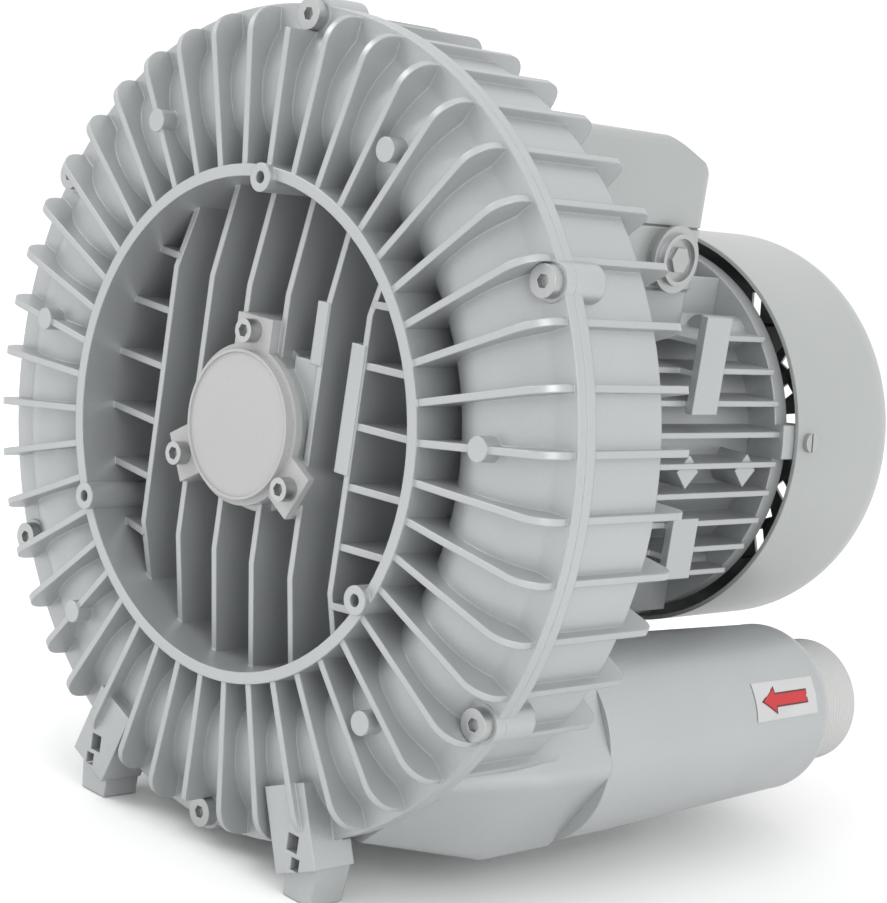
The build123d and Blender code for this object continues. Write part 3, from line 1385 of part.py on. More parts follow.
def make_silencer(side):
    """Tapering silencer shell with its joint plate in front and a rounded rear shoulder."""
    place = (side * PORT_X, -PORT_DROP)
    front = BLOCK_END_Y
    neck = CONNECTOR_SEAT_R + SLIP_GAP
    seat_y = SILENCER_END_Y - CONNECTOR_SEAT
    cavity_r = SILENCER_R - SILENCER_WALL
    cavity_end_r = SILENCER_END_R - SILENCER_WALL
    bend_y = SILENCER_END_Y - SILENCER_SHOULDER
    lip_r = SILENCER_END_R - SILENCER_SHOULDER + 3.0
    mid = (SILENCER_END_R - 2.4, SILENCER_END_Y - 2.9)
    cavity_y = front + JOINT_PLATE + 3.0
    cavity_end_y = seat_y - SILENCER_WALL
    outline = [
        ((PORT_BORE_R, front), (SILENCER_R, front)),
        ((SILENCER_R, front), (SILENCER_R, front + 32.0)),
        ((SILENCER_R, front + 32.0), (SILENCER_END_R, bend_y)),
        ((SILENCER_END_R, bend_y), mid, (lip_r, SILENCER_END_Y)),
        ((lip_r, SILENCER_END_Y), (neck, SILENCER_END_Y)),
        ((neck, SILENCER_END_Y), (neck, seat_y)),
        ((neck, seat_y), (LINER_R + SLIP_GAP, seat_y)),
        ((LINER_R + SLIP_GAP, seat_y), (LINER_R + SLIP_GAP, cavity_end_y)),
        ((LINER_R + SLIP_GAP, cavity_end_y), (cavity_end_r, cavity_end_y)),
        ((cavity_end_r, cavity_end_y), (cavity_r, front + 36.0)),
        ((cavity_r, front + 36.0), (cavity_r, cavity_y)),
        ((cavity_r, cavity_y), (PORT_BORE_R, cavity_y)),
        ((PORT_BORE_R, cavity_y), (PORT_BORE_R, front)),
    ]
    with BuildPart() as silencer:
        with BuildSketch(cross_plane(front + JOINT_PLATE)):
            with BuildLine():
                Polyline(*[(side * x, z) for x, z in JOINT_OUTLINE], close=True)
            make_face()
            fillet(vertices(), BLOCK_CORNER_R)
        extrude(amount=JOINT_PLATE)
        add(rods(PORT_BORE_R, [place], front - 1.0, front + JOINT_PLATE + 1.0), mode=Mode.SUBTRACT)
        add(turned(outline, place[0], place[1]))
        holes = [(side * x, z) for x, z in SILENCER_SCREWS]
        add(rods(M6_CLEAR_R, holes, front - 1.0, front + JOINT_PLATE + 1.0), mode=Mode.SUBTRACT)
    return silencer.part


def tubes(inner_r, outer_r, front, rear):
    """One tube in each silencer."""
    places = [(side * PORT_X, -PORT_DROP) for side, _ in PORTS]
    with BuildPart() as solid:
        add(rods(outer_r, places, front, rear))
        add(rods(inner_r, places, front - 1.0, rear + 1.0), mode=Mode.SUBTRACT)
    return solid.part


def make_connector(side):
    """Male pipe connector: seat in the silencer, undercut, then the thread with its chamfer."""
    place = (side * PORT_X, -PORT_DROP)
    start = SILENCER_END_Y - CONNECTOR_SEAT
    corners = [
        (CONNECTOR_BORE_R, start),
        (CONNECTOR_SEAT_R, start),
        (CONNECTOR_SEAT_R, SILENCER_END_Y),
        (CONNECTOR_GROOVE_R, SILENCER_END_Y),
        (CONNECTOR_GROOVE_R, SILENCER_END_Y + CONNECTOR_GROOVE),
        (CONNECTOR_R, SILENCER_END_Y + CONNECTOR_GROOVE),
        (CONNECTOR_R, CONNECTOR_END_Y - 2.0),
        (CONNECTOR_R - 2.0, CONNECTOR_END_Y),
        (CONNECTOR_BORE_R, CONNECTOR_END_Y),
    ]
    return turned(list(zip(corners, corners[1:] + corners[:1])), place[0], place[1])


for port_side, port_name in PORTS:
    write(make_silencer(port_side), f"{port_name}_silencer")
    write(make_connector(port_side), f"{port_name}_connector")

LINER_START_Y = BLOCK_END_Y + JOINT_PLATE + 3.0
LINER_END_Y = SILENCER_END_Y - CONNECTOR_SEAT
write(tubes(LINER_R - LINER_WALL, LINER_R, LINER_START_Y, LINER_END_Y), "silencer_liners")
FOAM_END_Y = LINER_END_Y - SILENCER_WALL - LOOSE_GAP
write(
    tubes(LINER_R + LOOSE_GAP, FOAM_R - LOOSE_GAP, LINER_START_Y + LOOSE_GAP, FOAM_END_Y),
    "silencer_foam",
)
write(
    screws(
        rear_facing(BLOCK_END_Y + JOINT_PLATE),
        [(side * x, z) for x, z in SILENCER_SCREWS for side, _ in PORTS],
        M6_R,
        16.0,
        M6_HEAD_R,
        M6_HEAD_H,
        M6_SOCKET_AF,
    ),
    "silencer_screws",
)
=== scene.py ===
import json
from math import cos, pi, radians, sin

import bmesh
import bpy
from mathutils import Matrix, Vector

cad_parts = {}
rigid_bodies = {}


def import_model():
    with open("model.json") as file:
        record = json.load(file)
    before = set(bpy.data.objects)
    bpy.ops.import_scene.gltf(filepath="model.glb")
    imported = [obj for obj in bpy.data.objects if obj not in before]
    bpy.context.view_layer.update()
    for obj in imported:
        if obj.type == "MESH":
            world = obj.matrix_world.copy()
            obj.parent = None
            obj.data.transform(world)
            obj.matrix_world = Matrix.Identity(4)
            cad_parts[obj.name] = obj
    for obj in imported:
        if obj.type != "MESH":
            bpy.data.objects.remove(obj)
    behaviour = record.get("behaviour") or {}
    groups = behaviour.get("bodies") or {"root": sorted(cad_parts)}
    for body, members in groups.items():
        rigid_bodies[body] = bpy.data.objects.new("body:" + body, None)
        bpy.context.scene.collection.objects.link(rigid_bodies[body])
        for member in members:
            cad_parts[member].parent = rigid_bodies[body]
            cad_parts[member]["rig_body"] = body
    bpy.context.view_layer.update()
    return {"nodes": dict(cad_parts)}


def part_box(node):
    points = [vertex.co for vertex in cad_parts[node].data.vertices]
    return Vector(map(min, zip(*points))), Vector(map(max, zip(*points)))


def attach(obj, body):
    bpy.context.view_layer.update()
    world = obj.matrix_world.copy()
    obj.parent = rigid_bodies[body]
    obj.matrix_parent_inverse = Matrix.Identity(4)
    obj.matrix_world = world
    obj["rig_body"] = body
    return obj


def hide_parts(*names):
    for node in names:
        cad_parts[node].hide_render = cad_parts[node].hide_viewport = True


bl_info = {
    "name": "Side channel blower",
    "version": (1, 0, 0),
    "blender": (4, 5, 0),
    "location": "View3D > Sidebar > Blower",
    "description": "Dresses the packed blower with paint, metal, threads and flow labels",
    "category": "Object",
}

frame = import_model()

# The ports' axes and the rim plane, in metres. The front casting's foremost point stands a
# little in front of that plane. A station is a distance behind it, in millimetres.
FRONT_OF_RIM = 0.003
PORT_HEIGHT = sum(corner.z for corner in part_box("inlet_connector")) / 2
PORT_X = sum(corner.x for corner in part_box("inlet_connector")) / 2
RIM_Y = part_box("front_cover")[0].y + FRONT_OF_RIM
MM_PER_METRE = 1000.0

# A silencer's shell, in millimetres: its radius, and how much it narrows over which stations.
SHELL_RADIUS = 43.5
SHELL_NARROWING = 3.5
NARROWING_START = 150.0
NARROWING_LENGTH = 128.0

# Flow labels. Heights round the silencer are in degrees, from the label's middle; lengths along
# it and lifts, which are how far a layer lies off the paint, are in millimetres. Half of an end
# is divided into a few steps, so that it follows the round shell.
LABEL_HALF_HEIGHT = 12.5
LABEL_STEPS = 4
FILM_LIFT = 0.25
ARROW_EDGE_LIFT = 0.35
ARROW_LIFT = 0.45
TIP_FROM_FRONT = 6.0
NECK_FROM_FRONT = 15.5
TAIL_FROM_END = 8.0
ARROW_HEAD = 7.6
ARROW_STEM = 3.6
EDGE_HEAD = 9.2
EDGE_STEM = 4.7
EDGE_PAST_TIP = 1.4
EDGE_PAST_TAIL = 0.8

# Threads: the last turn's distance from the connector's end, in metres, and the segments round
# each turn and round the section of its ridge.
THREAD_FROM_END = 0.0035
RING_SEGMENTS = 96
RIDGE_SEGMENTS = 8

# Stage. A light is its name, place, size and share of the key light's power. The camera's place
# is its distance to the side, behind the rim plane and above the floor, and its turn, rise and
# roll are in degrees.
FLOOR_SIZE = 30.0
FLOOR_DROP = 0.0004
LIGHTS = (
    ("key_light", (-1.3, -1.5, 1.9), 1.3, 1.0),
    ("side_light", (1.8, -0.7, 0.9), 1.2, 0.7),
    ("top_light", (0.1, 0.3, 2.2), 1.6, 0.15),
)
LIGHT_AIM = Vector((0.0, 0.0, 0.17))
CAMERA_PLACE = (0.68947, -0.60101, 0.33348)
CAMERA_TURN = 43.36
CAMERA_RISE = 9.14
CAMERA_ROLL = 8.6
SENSOR_WIDTH = 36.0

# Materials: the output of a Texture Coordinate node that gives the piece's own coordinates, the
# samples of softened edges, and the stretch of a pattern on metal that is alike in every
# direction, turned, or stacked from sheets.
OBJECT_SOCKET = 3
BEVEL_SAMPLES = 6
EVEN = (1.0, 1.0, 1.0)
TURNED = (0.2, 6.0, 0.2)
STACKED = (0.1, 30.0, 0.1)

# Edges that bend by less than this many degrees are shaded smooth; points nearer together than
# the weld distance become one.
SMOOTH_BELOW = 32.0
WELD_DISTANCE = 1e-6

PAINTED_CASTINGS = (
    "front_cover",
    "rear_housing",
    "motor_frame",
    "end_shield",
    "inlet_silencer",
    "outlet_silencer",
)
PAINTED_SHEET = ("cowl", "box_base", "box_lid")
FASTENERS = (
    "cap_screws",
    "cover_screws",
    "cowl_screws",
    "motor_screws",
    "shield_screws",
    "lid_screws",
    "silencer_screws",
    "entry_plug",
    "silencer_liners",
)
TURNED_STEEL = (
    "shaft",
    "impeller_key",
    "spacer_sleeve",
    "clamp_washer",
    "clamp_screw",
    "fan_clip",
    "front_bearing_inner",
    "rear_bearing_inner",
    "front_bearing_outer",
    "rear_bearing_outer",
    "wave_spring",
)


# ---------------------------------------------------------------------------------------------
# Shader helpers
# ---------------------------------------------------------------------------------------------


class Field:
    """A node's output that Python can add and multiply."""

    def __init__(self, tree, socket):
        self.tree = tree
        self.socket = socket

    def _math(self, operation, first, second):
        node = self.tree.nodes.new("ShaderNodeMath")
        node.operation = operation
        for target, value in zip(node.inputs, (first, second)):
            if isinstance(value, Field):
                self.tree.links.new(value.socket, target)
            else:
                target.default_value = value
        return Field(self.tree, node.outputs[0])

    def __add__(self, other):
        return self._math("ADD", self, other)

    def __radd__(self, other):
        return self._math("ADD", other, self)

    def __mul__(self, other):
        return self._math("MULTIPLY", self, other)

    def __rmul__(self, other):
        return self._math("MULTIPLY", other, self)


class Finish:
    """One material: its nodes, and the surface shader that they feed."""

    def __init__(self, name, **constants):
        self.material = bpy.data.materials.new(name)
        self.material.use_nodes = True
        self.tree = self.material.node_tree
        self.surface = self.tree.nodes["Principled BSDF"]
        for key, value in constants.items():
            self.surface.inputs[key.replace("_", " ")].default_value = value

    def node(self, kind, settings=(), stops=(), output=0, **inputs):
        """Adds a node; settings are set first, then the ramp's stops, then the inputs."""
        made = self.tree.nodes.new("ShaderNode" + kind)
        for key, value in dict(settings).items():
            setattr(made, key, value)
        for index, (place, colour) in enumerate(stops):
            ramp = made.color_ramp.elements
            element = ramp[index] if index < 2 else ramp.new(place)
            element.position = place
            element.color = colour
        for key, value in inputs.items():
            target = made.inputs[key.replace("_", " ")]
            if isinstance(value, Field):
                self.tree.links.new(value.socket, target)
            else:
                target.default_value = value
        return Field(self.tree, made.outputs[output])

    def noise(self, scale, detail=2.0, stretch=None):
        """Noise on the piece's own coordinates, in features per metre."""
        place = self.node("TexCoord", output=OBJECT_SOCKET)
        if stretch:
            place = self.node("Mapping", Vector=place, Scale=stretch)
        return self.node("TexNoise", Vector=place, Scale=scale, Detail=detail)

    def tones(self, share, low, high):
        """Colour between two tones by a varying share."""
        ends = ((0.0, (*low, 1.0)), (1.0, (*high, 1.0)))
        return self.node("ValToRGB", stops=ends, Fac=share)

    def feed(self, **links):
        """Links varying values to the surface shader."""
        for key, value in links.items():
            self.tree.links.new(value.socket, self.surface.inputs[key.replace("_", " ")])
        return self.material


def shade(colour, factor):
    """The colour made lighter or darker."""
    return tuple(min(1.0, channel * factor) for channel in colour)


def casting_paint(name, colour, roughness, grain, edge, metallic=0.0):
    """Satin paint on a die casting: soft edges, fine skin texture, slight change of tone."""
    paint = Finish(name, Specular_IOR_Level=0.45, Metallic=metallic)
    cloud = paint.noise(scale=14.0, detail=3.0)
    skin = paint.noise(scale=650.0, detail=4.0)
    specks = paint.noise(scale=2200.0, detail=1.0)
    tone = cloud * 0.6 + skin * 0.4
    rounded = paint.node("Bevel", {"samples": BEVEL_SAMPLES}, Radius=edge)
    height = skin * 0.75 + specks * 0.25
    bump = paint.node("Bump", Strength=grain, Distance=0.00025, Height=height, Normal=rounded)
    return paint.feed(
        Base_Color=paint.tones(tone, shade(colour, 0.88), shade(colour, 1.1)),
        Roughness=roughness - 0.06 + skin * 0.12,
        Normal=bump,
    )


def bare_metal(name, colour, roughness, stretch, edge):
    """Turned or plated metal with fine machining lines."""
    metal = Finish(name, Metallic=1.0)
    lines = metal.noise(scale=120.0, detail=4.0, stretch=stretch)
    haze = metal.noise(scale=60.0)
    rounded = metal.node("Bevel", {"samples": BEVEL_SAMPLES}, Radius=edge)
    bump = metal.node("Bump", Strength=0.25, Distance=0.00008, Height=lines, Normal=rounded)
    return metal.feed(
        Base_Color=metal.tones(haze, shade(colour, 0.85), shade(colour, 1.1)),
        Roughness=roughness + lines * 0.14,
        Normal=bump,
    )


def moulded(name, colour, roughness, grain):
    """Moulded rubber or plastic with an even fine texture."""
    plastic = Finish(name)
    texture = plastic.noise(scale=1500.0)
    cloud = plastic.noise(scale=25.0)
    bump = plastic.node("Bump", Strength=grain, Distance=0.0001, Height=texture)
    return plastic.feed(
        Base_Color=plastic.tones(cloud, shade(colour, 0.85), shade(colour, 1.2)),
        Roughness=roughness + texture * 0.1,
        Normal=bump,
    )


def open_foam(name, colour):
    """Open-cell foam."""
    foam = Finish(name, Roughness=0.95)
    place = foam.node("TexCoord", output=OBJECT_SOCKET)
    cells = foam.node("TexVoronoi", Vector=place, Scale=420.0)
    bump = foam.node("Bump", Strength=0.8, Distance=0.0006, Height=cells)
    return foam.feed(
        Base_Color=foam.tones(cells, shade(colour, 1.3), shade(colour, 0.4)), Normal=bump
    )


def wound_copper(name, colour):
    """Enamelled wire laid side by side, with painted shade in the grooves between the turns."""
    copper = Finish(name, Metallic=0.8)
    place = copper.node("TexCoord", output=OBJECT_SOCKET)
    turns = copper.node(
        "TexWave", {"wave_type": "RINGS", "rings_direction": "Y"}, Vector=place, Scale=160.0
    )
    bump = copper.node("Bump", Strength=0.6, Distance=0.0004, Height=turns)
    # The base colour halves in the grooves between the turns: painted shade.
    return copper.feed(
        Base_Color=copper.tones(turns, shade(colour, 0.5), colour),
        Roughness=0.3 + turns * 0.15,
        Normal=bump,
    )


# ---------------------------------------------------------------------------------------------
# Mesh helpers
# ---------------------------------------------------------------------------------------------


def own(name, mesh, material, body):
    """Links a finished mesh as a piece on a body."""
    piece = bpy.data.objects.new(name, mesh)
    bpy.context.scene.collection.objects.link(piece)
    mesh.materials.clear()
    mesh.materials.append(material)
    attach(piece, body)
    return piece


def smooth_skin(node_name, material, body="housing"):
    """A joined and smoothly shaded copy of a solid, shown in its place."""
    mesh = frame["nodes"][node_name].data.copy()
    shape = bmesh.new()
    shape.from_mesh(mesh)
    bmesh.ops.remove_doubles(shape, verts=shape.verts, dist=WELD_DISTANCE)
    limit = radians(SMOOTH_BELOW)
    for edge in shape.edges:
        edge.smooth = len(edge.link_faces) == 2 and edge.calc_face_angle(pi) < limit
    for face in shape.faces:
        face.smooth = True
    shape.to_mesh(mesh)
    shape.free()
    if "custom_normal" in mesh.attributes:
        mesh.attributes.remove(mesh.attributes["custom_normal"])
    piece = own(node_name + "_skin", mesh, material, body)
    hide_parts(node_name)
    return piece


def paint_node(node_name, material):
    """Gives a solid its finish."""
    data = frame["nodes"][node_name].data
    data.materials.clear()
    data.materials.append(material)


def silencer_radius(station):
    """Radius of a silencer's shell at a station, in millimetres."""
    return SHELL_RADIUS - max(0.0, station - NARROWING_START) * SHELL_NARROWING / NARROWING_LENGTH


def arrow_outline(tip, neck, tail, head, stem):
    """An arrow's outline: stations of its tip, neck and tail, half heights of head and stem."""
    lower = [(tip, 0.0), (neck, -head), (neck, -stem), (tail, -stem)]
    return lower + [(tail, stem), (neck, stem), (neck, head)]


def wrapped(outline, name, side, lift):
    """A thin patch that lies on a silencer; the outline is (station, degrees) points."""
    shape = bmesh.new()
    corners = []
    for station, degrees in outline:
        reach = (silencer_radius(station) + lift) / MM_PER_METRE
        angle = radians(degrees)
        x = side * (PORT_X + reach * cos(angle))
        y = RIM_Y + station / MM_PER_METRE
        z = PORT_HEIGHT + reach * sin(angle)
        corners.append(shape.verts.new((x, y, z)))
    face = shape.faces.new(corners)
    bmesh.ops.triangulate(shape, faces=[face])
    mesh = bpy.data.meshes.new(name)
    shape.to_mesh(mesh)
    shape.free()
    return mesh


# ---------------------------------------------------------------------------------------------
# Geometry nodes: the thread of a pipe connector, one ring per turn
# ---------------------------------------------------------------------------------------------


def thread_tree(material):
    """Rings of rounded section, stacked along Y from a starting point."""
    tree = bpy.data.node_groups.new("thread_turns", "GeometryNodeTree")
    sockets = {}
    tree.interface.new_socket("Geometry", in_out="OUTPUT", socket_type="NodeSocketGeometry")
    for name, kind in (
        ("Start", "NodeSocketVector"),
        ("Turns", "NodeSocketInt"),
        ("Pitch", "NodeSocketFloat"),
        ("Radius", "NodeSocketFloat"),
        ("Ridge", "NodeSocketFloat"),
    ):
        item = tree.interface.new_socket(name, in_out="INPUT", socket_type=kind)
        sockets[name] = item.identifier
    given = tree.nodes.new("NodeGroupInput")
    result = tree.nodes.new("NodeGroupOutput")

    def made(kind, settings=(), **inputs):
        node = tree.nodes.new(kind)
        for key, value in dict(settings).items():
            setattr(node, key, value)
        for key, value in inputs.items():
            target = node.inputs[key.replace("_", " ")]
            if isinstance(value, bpy.types.NodeSocket):
                tree.links.new(value, target)
            else:
                target.default_value = value
        return node

    step = made("ShaderNodeCombineXYZ", Y=given.outputs["Pitch"])
    line = made(
        "GeometryNodeMeshLine",
        Count=given.outputs["Turns"],
        Start_Location=given.outputs["Start"],
        Offset=step.outputs[0],
    )
    turn = made(
        "GeometryNodeCurvePrimitiveCircle",
        Resolution=RING_SEGMENTS,
        Radius=given.outputs["Radius"],
    )
    ridge = made(
        "GeometryNodeCurvePrimitiveCircle",
        Resolution=RIDGE_SEGMENTS,
        Radius=given.outputs["Ridge"],
    )
    ring = made(
        "GeometryNodeCurveToMesh",
        Curve=turn.outputs["Curve"],
        Profile_Curve=ridge.outputs["Curve"],
    )
    stood = made(
        "GeometryNodeTransform", Geometry=ring.outputs["Mesh"], Rotation=(pi / 2, 0.0, 0.0)
    )
    stack = made(
        "GeometryNodeInstanceOnPoints",
        Points=line.outputs["Mesh"],
        Instance=stood.outputs["Geometry"],
    )
    real = made("GeometryNodeRealizeInstances", Geometry=stack.outputs["Instances"])
    soft = made("GeometryNodeSetShadeSmooth", Geometry=real.outputs["Geometry"])
    dressed = made(
        "GeometryNodeSetMaterial", Geometry=soft.outputs["Geometry"], Material=material
    )
    tree.links.new(dressed.outputs["Geometry"], result.inputs[0])
    return tree, sockets


def grown(tree, sockets, name, values):
    """Plain mesh that a geometry-nodes tree makes from named values."""
    carrier = bpy.data.objects.new(name + "_carrier", bpy.data.meshes.new(name + "_seed"))
    bpy.context.scene.collection.objects.link(carrier)
    modifier = carrier.modifiers.new("grow", "NODES")
    modifier.node_group = tree
    for key, value in values.items():
        modifier[sockets[key]] = value
    evaluated = carrier.evaluated_get(bpy.context.evaluated_depsgraph_get())
    mesh = bpy.data.meshes.new_from_object(evaluated)
    bpy.data.objects.remove(carrier)
    mesh.name = name
    return mesh


# ---------------------------------------------------------------------------------------------
# Settings
# ---------------------------------------------------------------------------------------------


class BlowerPaint(bpy.types.PropertyGroup):
    """Colours and surface of the painted pieces."""

    casting: bpy.props.FloatVectorProperty(
        name="Casting colour",
        description="Paint on the castings",
        subtype="COLOR",
        size=3,
        default=(0.405, 0.42, 0.425),
    )
    sheet: bpy.props.FloatVectorProperty(
        name="Sheet colour",
        description="Paint on the cowl and the terminal box",
        subtype="COLOR",
        size=3,
        default=(0.355, 0.37, 0.368),
    )
    cap: bpy.props.FloatVectorProperty(
        name="Cap colour",
        description="Paint on the bearing cap",
        subtype="COLOR",
        size=3,
        default=(0.375, 0.375, 0.375),
    )
    roughness: bpy.props.FloatProperty(
        name="Roughness", description="Roughness of the paint", default=0.40, min=0.05, max=1.0
    )
    flake: bpy.props.FloatProperty(
        name="Flake",
        description="How metallic the silver paint looks",
        default=0.5,
        min=0.0,
        max=1.0,
    )
    edge: bpy.props.FloatProperty(
        name="Edge softness",
        description="Radius that the paint gives to the castings' edges",
        unit="LENGTH",
        default=0.0009,
        min=0.0001,
        max=0.003,
    )


class BlowerLabel(bpy.types.PropertyGroup):
    """Flow labels on the silencers."""

    front: bpy.props.FloatProperty(
        name="Front edge", description="Station of the label's front edge, in mm", default=225.0
    )
    length: bpy.props.FloatProperty(
        name="Length", description="Length of the label, in mm", default=49.0, min=20.0, max=80.0
    )
    middle: bpy.props.FloatProperty(
        name="Height angle", description="Angle of its middle above level, in degrees", default=26.0
    )
    ground: bpy.props.FloatVectorProperty(
        name="Ground",
        description="Colour of the label's ground",
        subtype="COLOR",
        size=3,
        default=(0.44, 0.44, 0.445),
    )
    arrow: bpy.props.FloatVectorProperty(
        name="Arrow",
        description="Colour of the arrow",
        subtype="COLOR",
        size=3,
        default=(0.42, 0.008, 0.012),
    )
    arrow_edge: bpy.props.FloatVectorProperty(
        name="Arrow edge",
        description="Colour of the arrow's dark edge",
        subtype="COLOR",
        size=3,
        default=(0.08, 0.004, 0.006),
    )


class BlowerThread(bpy.types.PropertyGroup):
    """Thread on the pipe connectors."""

    turns: bpy.props.IntProperty(
        name="Turns", description="Number of turns shown", default=12, min=4, max=14
    )
    pitch: bpy.props.FloatProperty(
        name="Pitch", description="Distance between turns", unit="LENGTH", default=0.00231
    )
    ridge: bpy.props.FloatProperty(
        name="Ridge", description="Radius of the ridge section", unit="LENGTH", default=0.00045
    )
    radius: bpy.props.FloatProperty(
        name="Radius", description="Nominal radius of the thread", unit="LENGTH", default=0.0298
    )


class BlowerStage(bpy.types.PropertyGroup):
    """Light, floor and camera."""

    floor: bpy.props.FloatVectorProperty(
        name="Floor",
        description="Colour of the floor",
        subtype="COLOR",
        size=3,
        default=(0.92, 0.92, 0.92),
    )
    surround: bpy.props.FloatProperty(
        name="Surround", description="Strength of the light all round", default=1.12, min=0.0
    )
    key: bpy.props.FloatProperty(
        name="Key light", description="Power of the main light", unit="POWER", default=20.0
    )
    lens: bpy.props.FloatProperty(
        name="Lens", description="Focal length", unit="CAMERA", default=88.43
    )


# ---------------------------------------------------------------------------------------------
# Operators
# ---------------------------------------------------------------------------------------------


class BLOWER_OT_paint(bpy.types.Operator):
    """Paint the castings, the cowl, the terminal box and the bearing cap"""

    bl_idname = "blower.paint"
    bl_label = "Painted pieces"

    def execute(self, context):
        look = context.scene.blower_paint
        casting = casting_paint(
            "casting_paint",
            look.casting,
            look.roughness,
            grain=0.35,
            edge=look.edge,
            metallic=look.flake,
        )
        sheet = casting_paint(
            "sheet_paint",
            look.sheet,
            look.roughness - 0.04,
            grain=0.18,
            edge=look.edge,
            metallic=look.flake / 2,
        )
        cap = casting_paint("cap_paint", look.cap, look.roughness, grain=0.2, edge=look.edge / 2)
        for name in PAINTED_CASTINGS:
            smooth_skin(name, casting)
        for name in PAINTED_SHEET:
            smooth_skin(name, sheet)
        smooth_skin("bearing_cap", cap)
        return {"FINISHED"}


class BLOWER_OT_metal(bpy.types.Operator):
    """Finish the screws, turned parts, impeller, cores and windings"""

    bl_idname = "blower.metal"
    bl_label = "Bare metal"

    def execute(self, context):
        plated = bare_metal("zinc_plate", (0.46, 0.47, 0.47), 0.36, EVEN, edge=0.0004)
        steel = bare_metal("turned_steel", (0.45, 0.46, 0.48), 0.22, TURNED, edge=0.0003)
        cast = bare_metal("cast_aluminium", (0.60, 0.61, 0.62), 0.45, EVEN, edge=0.0005)
        stack = bare_metal("core_sheets", (0.30, 0.30, 0.31), 0.4, STACKED, edge=0.0002)
        copper = wound_copper("copper_wire", (0.62, 0.22, 0.09))
        for name in FASTENERS:
            smooth_skin(name, plated)
        for name in TURNED_STEEL:
            paint_node(name, steel)
        for name, finish in (
            ("impeller", cast),
            ("rotor_core", stack),
            ("stator_core", stack),
            ("windings", copper),
            ("terminal_studs", copper),
        ):
            paint_node(name, finish)
        for name in ("clamp_screw", "shaft", "impeller", "fan_clip"):
            body = frame["nodes"][name]["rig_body"]
            if body != "rotor":
                raise RuntimeError(f"{name} should turn with the rotor, and is on {body}")
        return {"FINISHED"}


class BLOWER_OT_trim(bpy.types.Operator):
    """Finish the gaskets, seal, fan, board and foam"""

    bl_idname = "blower.trim"
    bl_label = "Rubber, plastic and foam"

    def execute(self, context):
        rubber = moulded("black_rubber", (0.03, 0.03, 0.032), 0.6, grain=0.3)
        gasket = moulded("grey_gasket", (0.19, 0.195, 0.195), 0.6, grain=0.2)
        plastic = moulded("black_plastic", (0.035, 0.035, 0.04), 0.4, grain=0.15)
        foam = open_foam("grey_foam", (0.16, 0.16, 0.17))
        for name, finish in (
            ("box_gasket", gasket),
            ("lid_gasket", gasket),
            ("shaft_seal", rubber),
            ("terminal_board", plastic),
            ("silencer_foam", foam),
        ):
            paint_node(name, finish)
        smooth_skin("cooling_fan", plastic, body="rotor")
        return {"FINISHED"}


class BLOWER_OT_connectors(bpy.types.Operator):
    """Finish the pipe connectors and grow their threads"""

    bl_idname = "blower.connectors"
    bl_label = "Pipe connectors"

    def execute(self, context):
        look = context.scene.blower_thread
        pale = casting_paint("pale_aluminium", (0.45, 0.455, 0.45), 0.5, grain=0.15, edge=0.0004)
        tree, sockets = thread_tree(pale)
        for name, side in (("inlet", 1.0), ("outlet", -1.0)):
            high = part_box(name + "_connector")[1]
            smooth_skin(name + "_connector", pale)
            first = high.y - THREAD_FROM_END - (look.turns - 1) * look.pitch
            mesh = grown(
                tree,
                sockets,
                name + "_thread",
                {
                    "Start": (side * PORT_X, first, PORT_HEIGHT),
                    "Turns": look.turns,
                    "Pitch": look.pitch,
                    "Radius": look.radius - look.ridge * 0.5,
                    "Ridge": look.ridge,
                },
            )
            if len(mesh.polygons) < look.turns * RING_SEGMENTS * RIDGE_SEGMENTS:
                raise RuntimeError(f"the {name} thread has missing turns")
            own(name + "_thread", mesh, pale, "housing")
        return {"FINISHED"}


class BLOWER_OT_flow_labels(bpy.types.Operator):
    """Put a flow label with a plain arrow on each silencer"""

    bl_idname = "blower.flow_labels"
    bl_label = "Flow labels"

    def execute(self, context):
        look = context.scene.blower_label
        film = moulded("label_film", look.ground, 0.35, grain=0.05)
        ink = moulded("arrow_ink", look.arrow, 0.35, grain=0.05)
        dark = moulded("arrow_edge_ink", look.arrow_edge, 0.35, grain=0.05)
        half, steps = LABEL_HALF_HEIGHT, LABEL_STEPS
        start, end = look.front, look.front + look.length
        ground = [(start, -half), (end, -half)]
        ground += [(end, step * half / steps) for step in range(1 - steps, steps + 1)]
        ground += [(start, step * half / steps) for step in range(steps, -steps, -1)]
        tip, neck, tail = start + TIP_FROM_FRONT, start + NECK_FROM_FRONT, end - TAIL_FROM_END
        arrow = arrow_outline(tip, neck, tail, ARROW_HEAD, ARROW_STEM)
        edge = arrow_outline(
            tip - EDGE_PAST_TIP,
            neck + EDGE_PAST_TAIL,
            tail + EDGE_PAST_TAIL,
            EDGE_HEAD,
            EDGE_STEM,
        )
        middle = (start + end) / 2
        for name, side in (("inlet", 1), ("outlet", -1)):
            flip = side < 0
            for part, outline, finish, lift in (
                ("ground", ground, film, FILM_LIFT),
                ("arrow_edge", edge, dark, ARROW_EDGE_LIFT),
                ("arrow", arrow, ink, ARROW_LIFT),
            ):
                points = [
                    (2 * middle - station if flip else station, look.middle + degrees)
                    for station, degrees in outline
                ]
                mesh = wrapped(points, f"{name}_label_{part}", side, lift)
                own(f"{name}_label_{part}", mesh, finish, "housing")
        return {"FINISHED"}


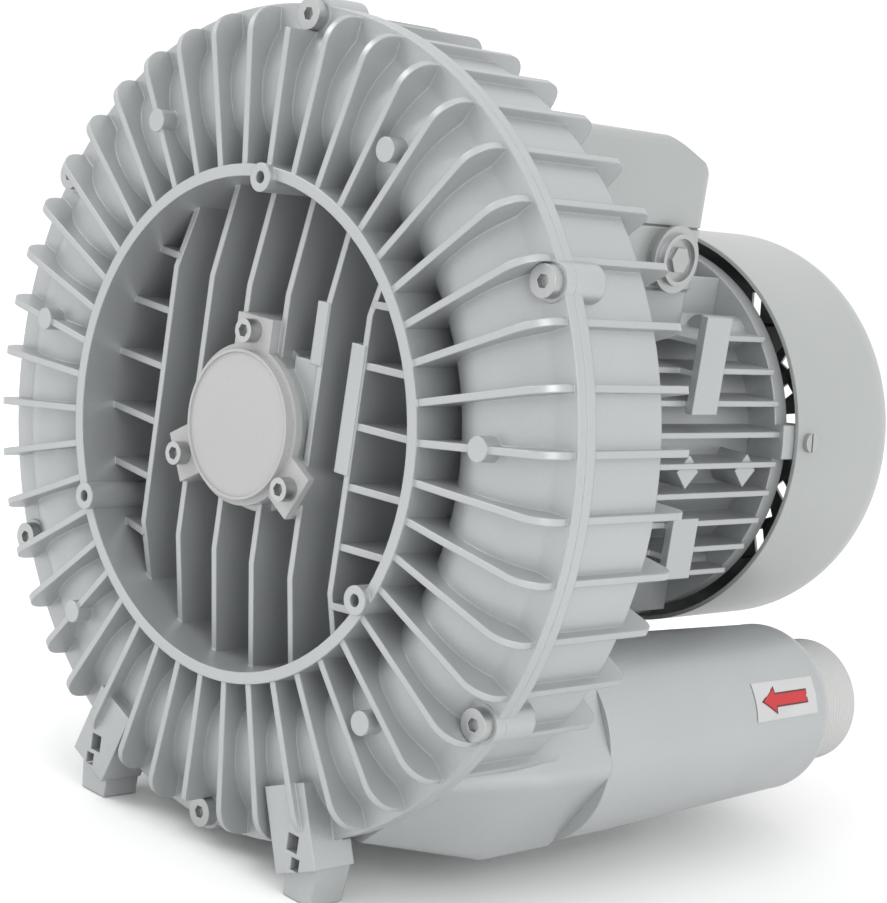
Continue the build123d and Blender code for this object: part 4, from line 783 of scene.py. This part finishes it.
class BLOWER_OT_stage(bpy.types.Operator):
    """Set the floor, the lights and the camera"""

    bl_idname = "blower.stage"
    bl_label = "Stage"

    def execute(self, context):
        look = context.scene.blower_stage
        scene = context.scene
        scene.view_settings.view_transform = "Standard"
        floor = Finish("studio_floor", Roughness=0.9)
        cloud = floor.noise(scale=3.0)
        floor.feed(
            Base_Color=floor.tones(cloud, shade(look.floor, 0.99), shade(look.floor, 1.01))
        )
        bpy.ops.mesh.primitive_plane_add(size=FLOOR_SIZE, location=(0.0, 0.0, -FLOOR_DROP))
        ground = context.object
        ground.name = "studio_floor"
        ground.data.materials.append(floor.material)
        world = bpy.data.worlds.new("studio")
        scene.world = world
        world.use_nodes = True
        surround = world.node_tree.nodes["Background"]
        surround.inputs["Color"].default_value = (1.0, 1.0, 1.0, 1.0)
        surround.inputs["Strength"].default_value = look.surround
        for name, place, size, share in LIGHTS:
            lamp = bpy.data.lights.new(name, "AREA")
            lamp.size = size
            lamp.energy = look.key * share
            holder = bpy.data.objects.new(name, lamp)
            scene.collection.objects.link(holder)
            holder.location = place
            aim = LIGHT_AIM - Vector(place)
            holder.rotation_euler = aim.to_track_quat("-Z", "Y").to_euler()
        turn, rise, roll = radians(CAMERA_TURN), radians(CAMERA_RISE), radians(CAMERA_ROLL)
        right = Vector((cos(turn), sin(turn), 0.0))
        up = Vector((-sin(turn) * sin(rise), cos(turn) * sin(rise), cos(rise)))
        back = Vector((sin(turn) * cos(rise), -cos(turn) * cos(rise), sin(rise)))
        across = cos(roll) * right + sin(roll) * up
        upright = -sin(roll) * right + cos(roll) * up
        camera = bpy.data.objects.new("camera", bpy.data.cameras.new("camera"))
        camera.data.lens = look.lens
        camera.data.sensor_width = SENSOR_WIDTH
        scene.collection.objects.link(camera)
        axes = Matrix((across, upright, back)).transposed().to_4x4()
        aside, behind_rim, above_floor = CAMERA_PLACE
        place = (aside, RIM_Y + behind_rim, above_floor)
        camera.matrix_world = Matrix.Translation(place) @ axes
        scene.camera = camera
        return {"FINISHED"}


class BLOWER_PT_build(bpy.types.Panel):
    """Lists the steps that dress the blower"""

    bl_idname = "BLOWER_PT_build"
    bl_label = "Side channel blower"
    bl_space_type = "VIEW_3D"
    bl_region_type = "UI"
    bl_category = "Blower"

    def draw(self, context):
        for step in STEPS:
            self.layout.operator(step.bl_idname)
        for name in SETTINGS:
            group = getattr(context.scene, name)
            box = self.layout.box()
            for key in group.__annotations__:
                box.prop(group, key)


STEPS = (
    BLOWER_OT_paint,
    BLOWER_OT_metal,
    BLOWER_OT_trim,
    BLOWER_OT_connectors,
    BLOWER_OT_flow_labels,
    BLOWER_OT_stage,
)
SETTINGS = {
    "blower_paint": BlowerPaint,
    "blower_label": BlowerLabel,
    "blower_thread": BlowerThread,
    "blower_stage": BlowerStage,
}


def register():
    """Makes the settings, operators and panel known."""
    for group in (*SETTINGS.values(), *STEPS, BLOWER_PT_build):
        bpy.utils.register_class(group)
    for name, group in SETTINGS.items():
        setattr(bpy.types.Scene, name, bpy.props.PointerProperty(type=group))


def unregister():
    """Takes them away again."""
    for name in SETTINGS:
        delattr(bpy.types.Scene, name)
    for group in (BLOWER_PT_build, *reversed(STEPS), *reversed(SETTINGS.values())):
        bpy.utils.unregister_class(group)


def main():
    """Runs every step in order."""
    register()
    for step in STEPS:
        area, name = step.bl_idname.split(".")
        getattr(getattr(bpy.ops, area), name)()


if __name__ == "__main__":
    main()
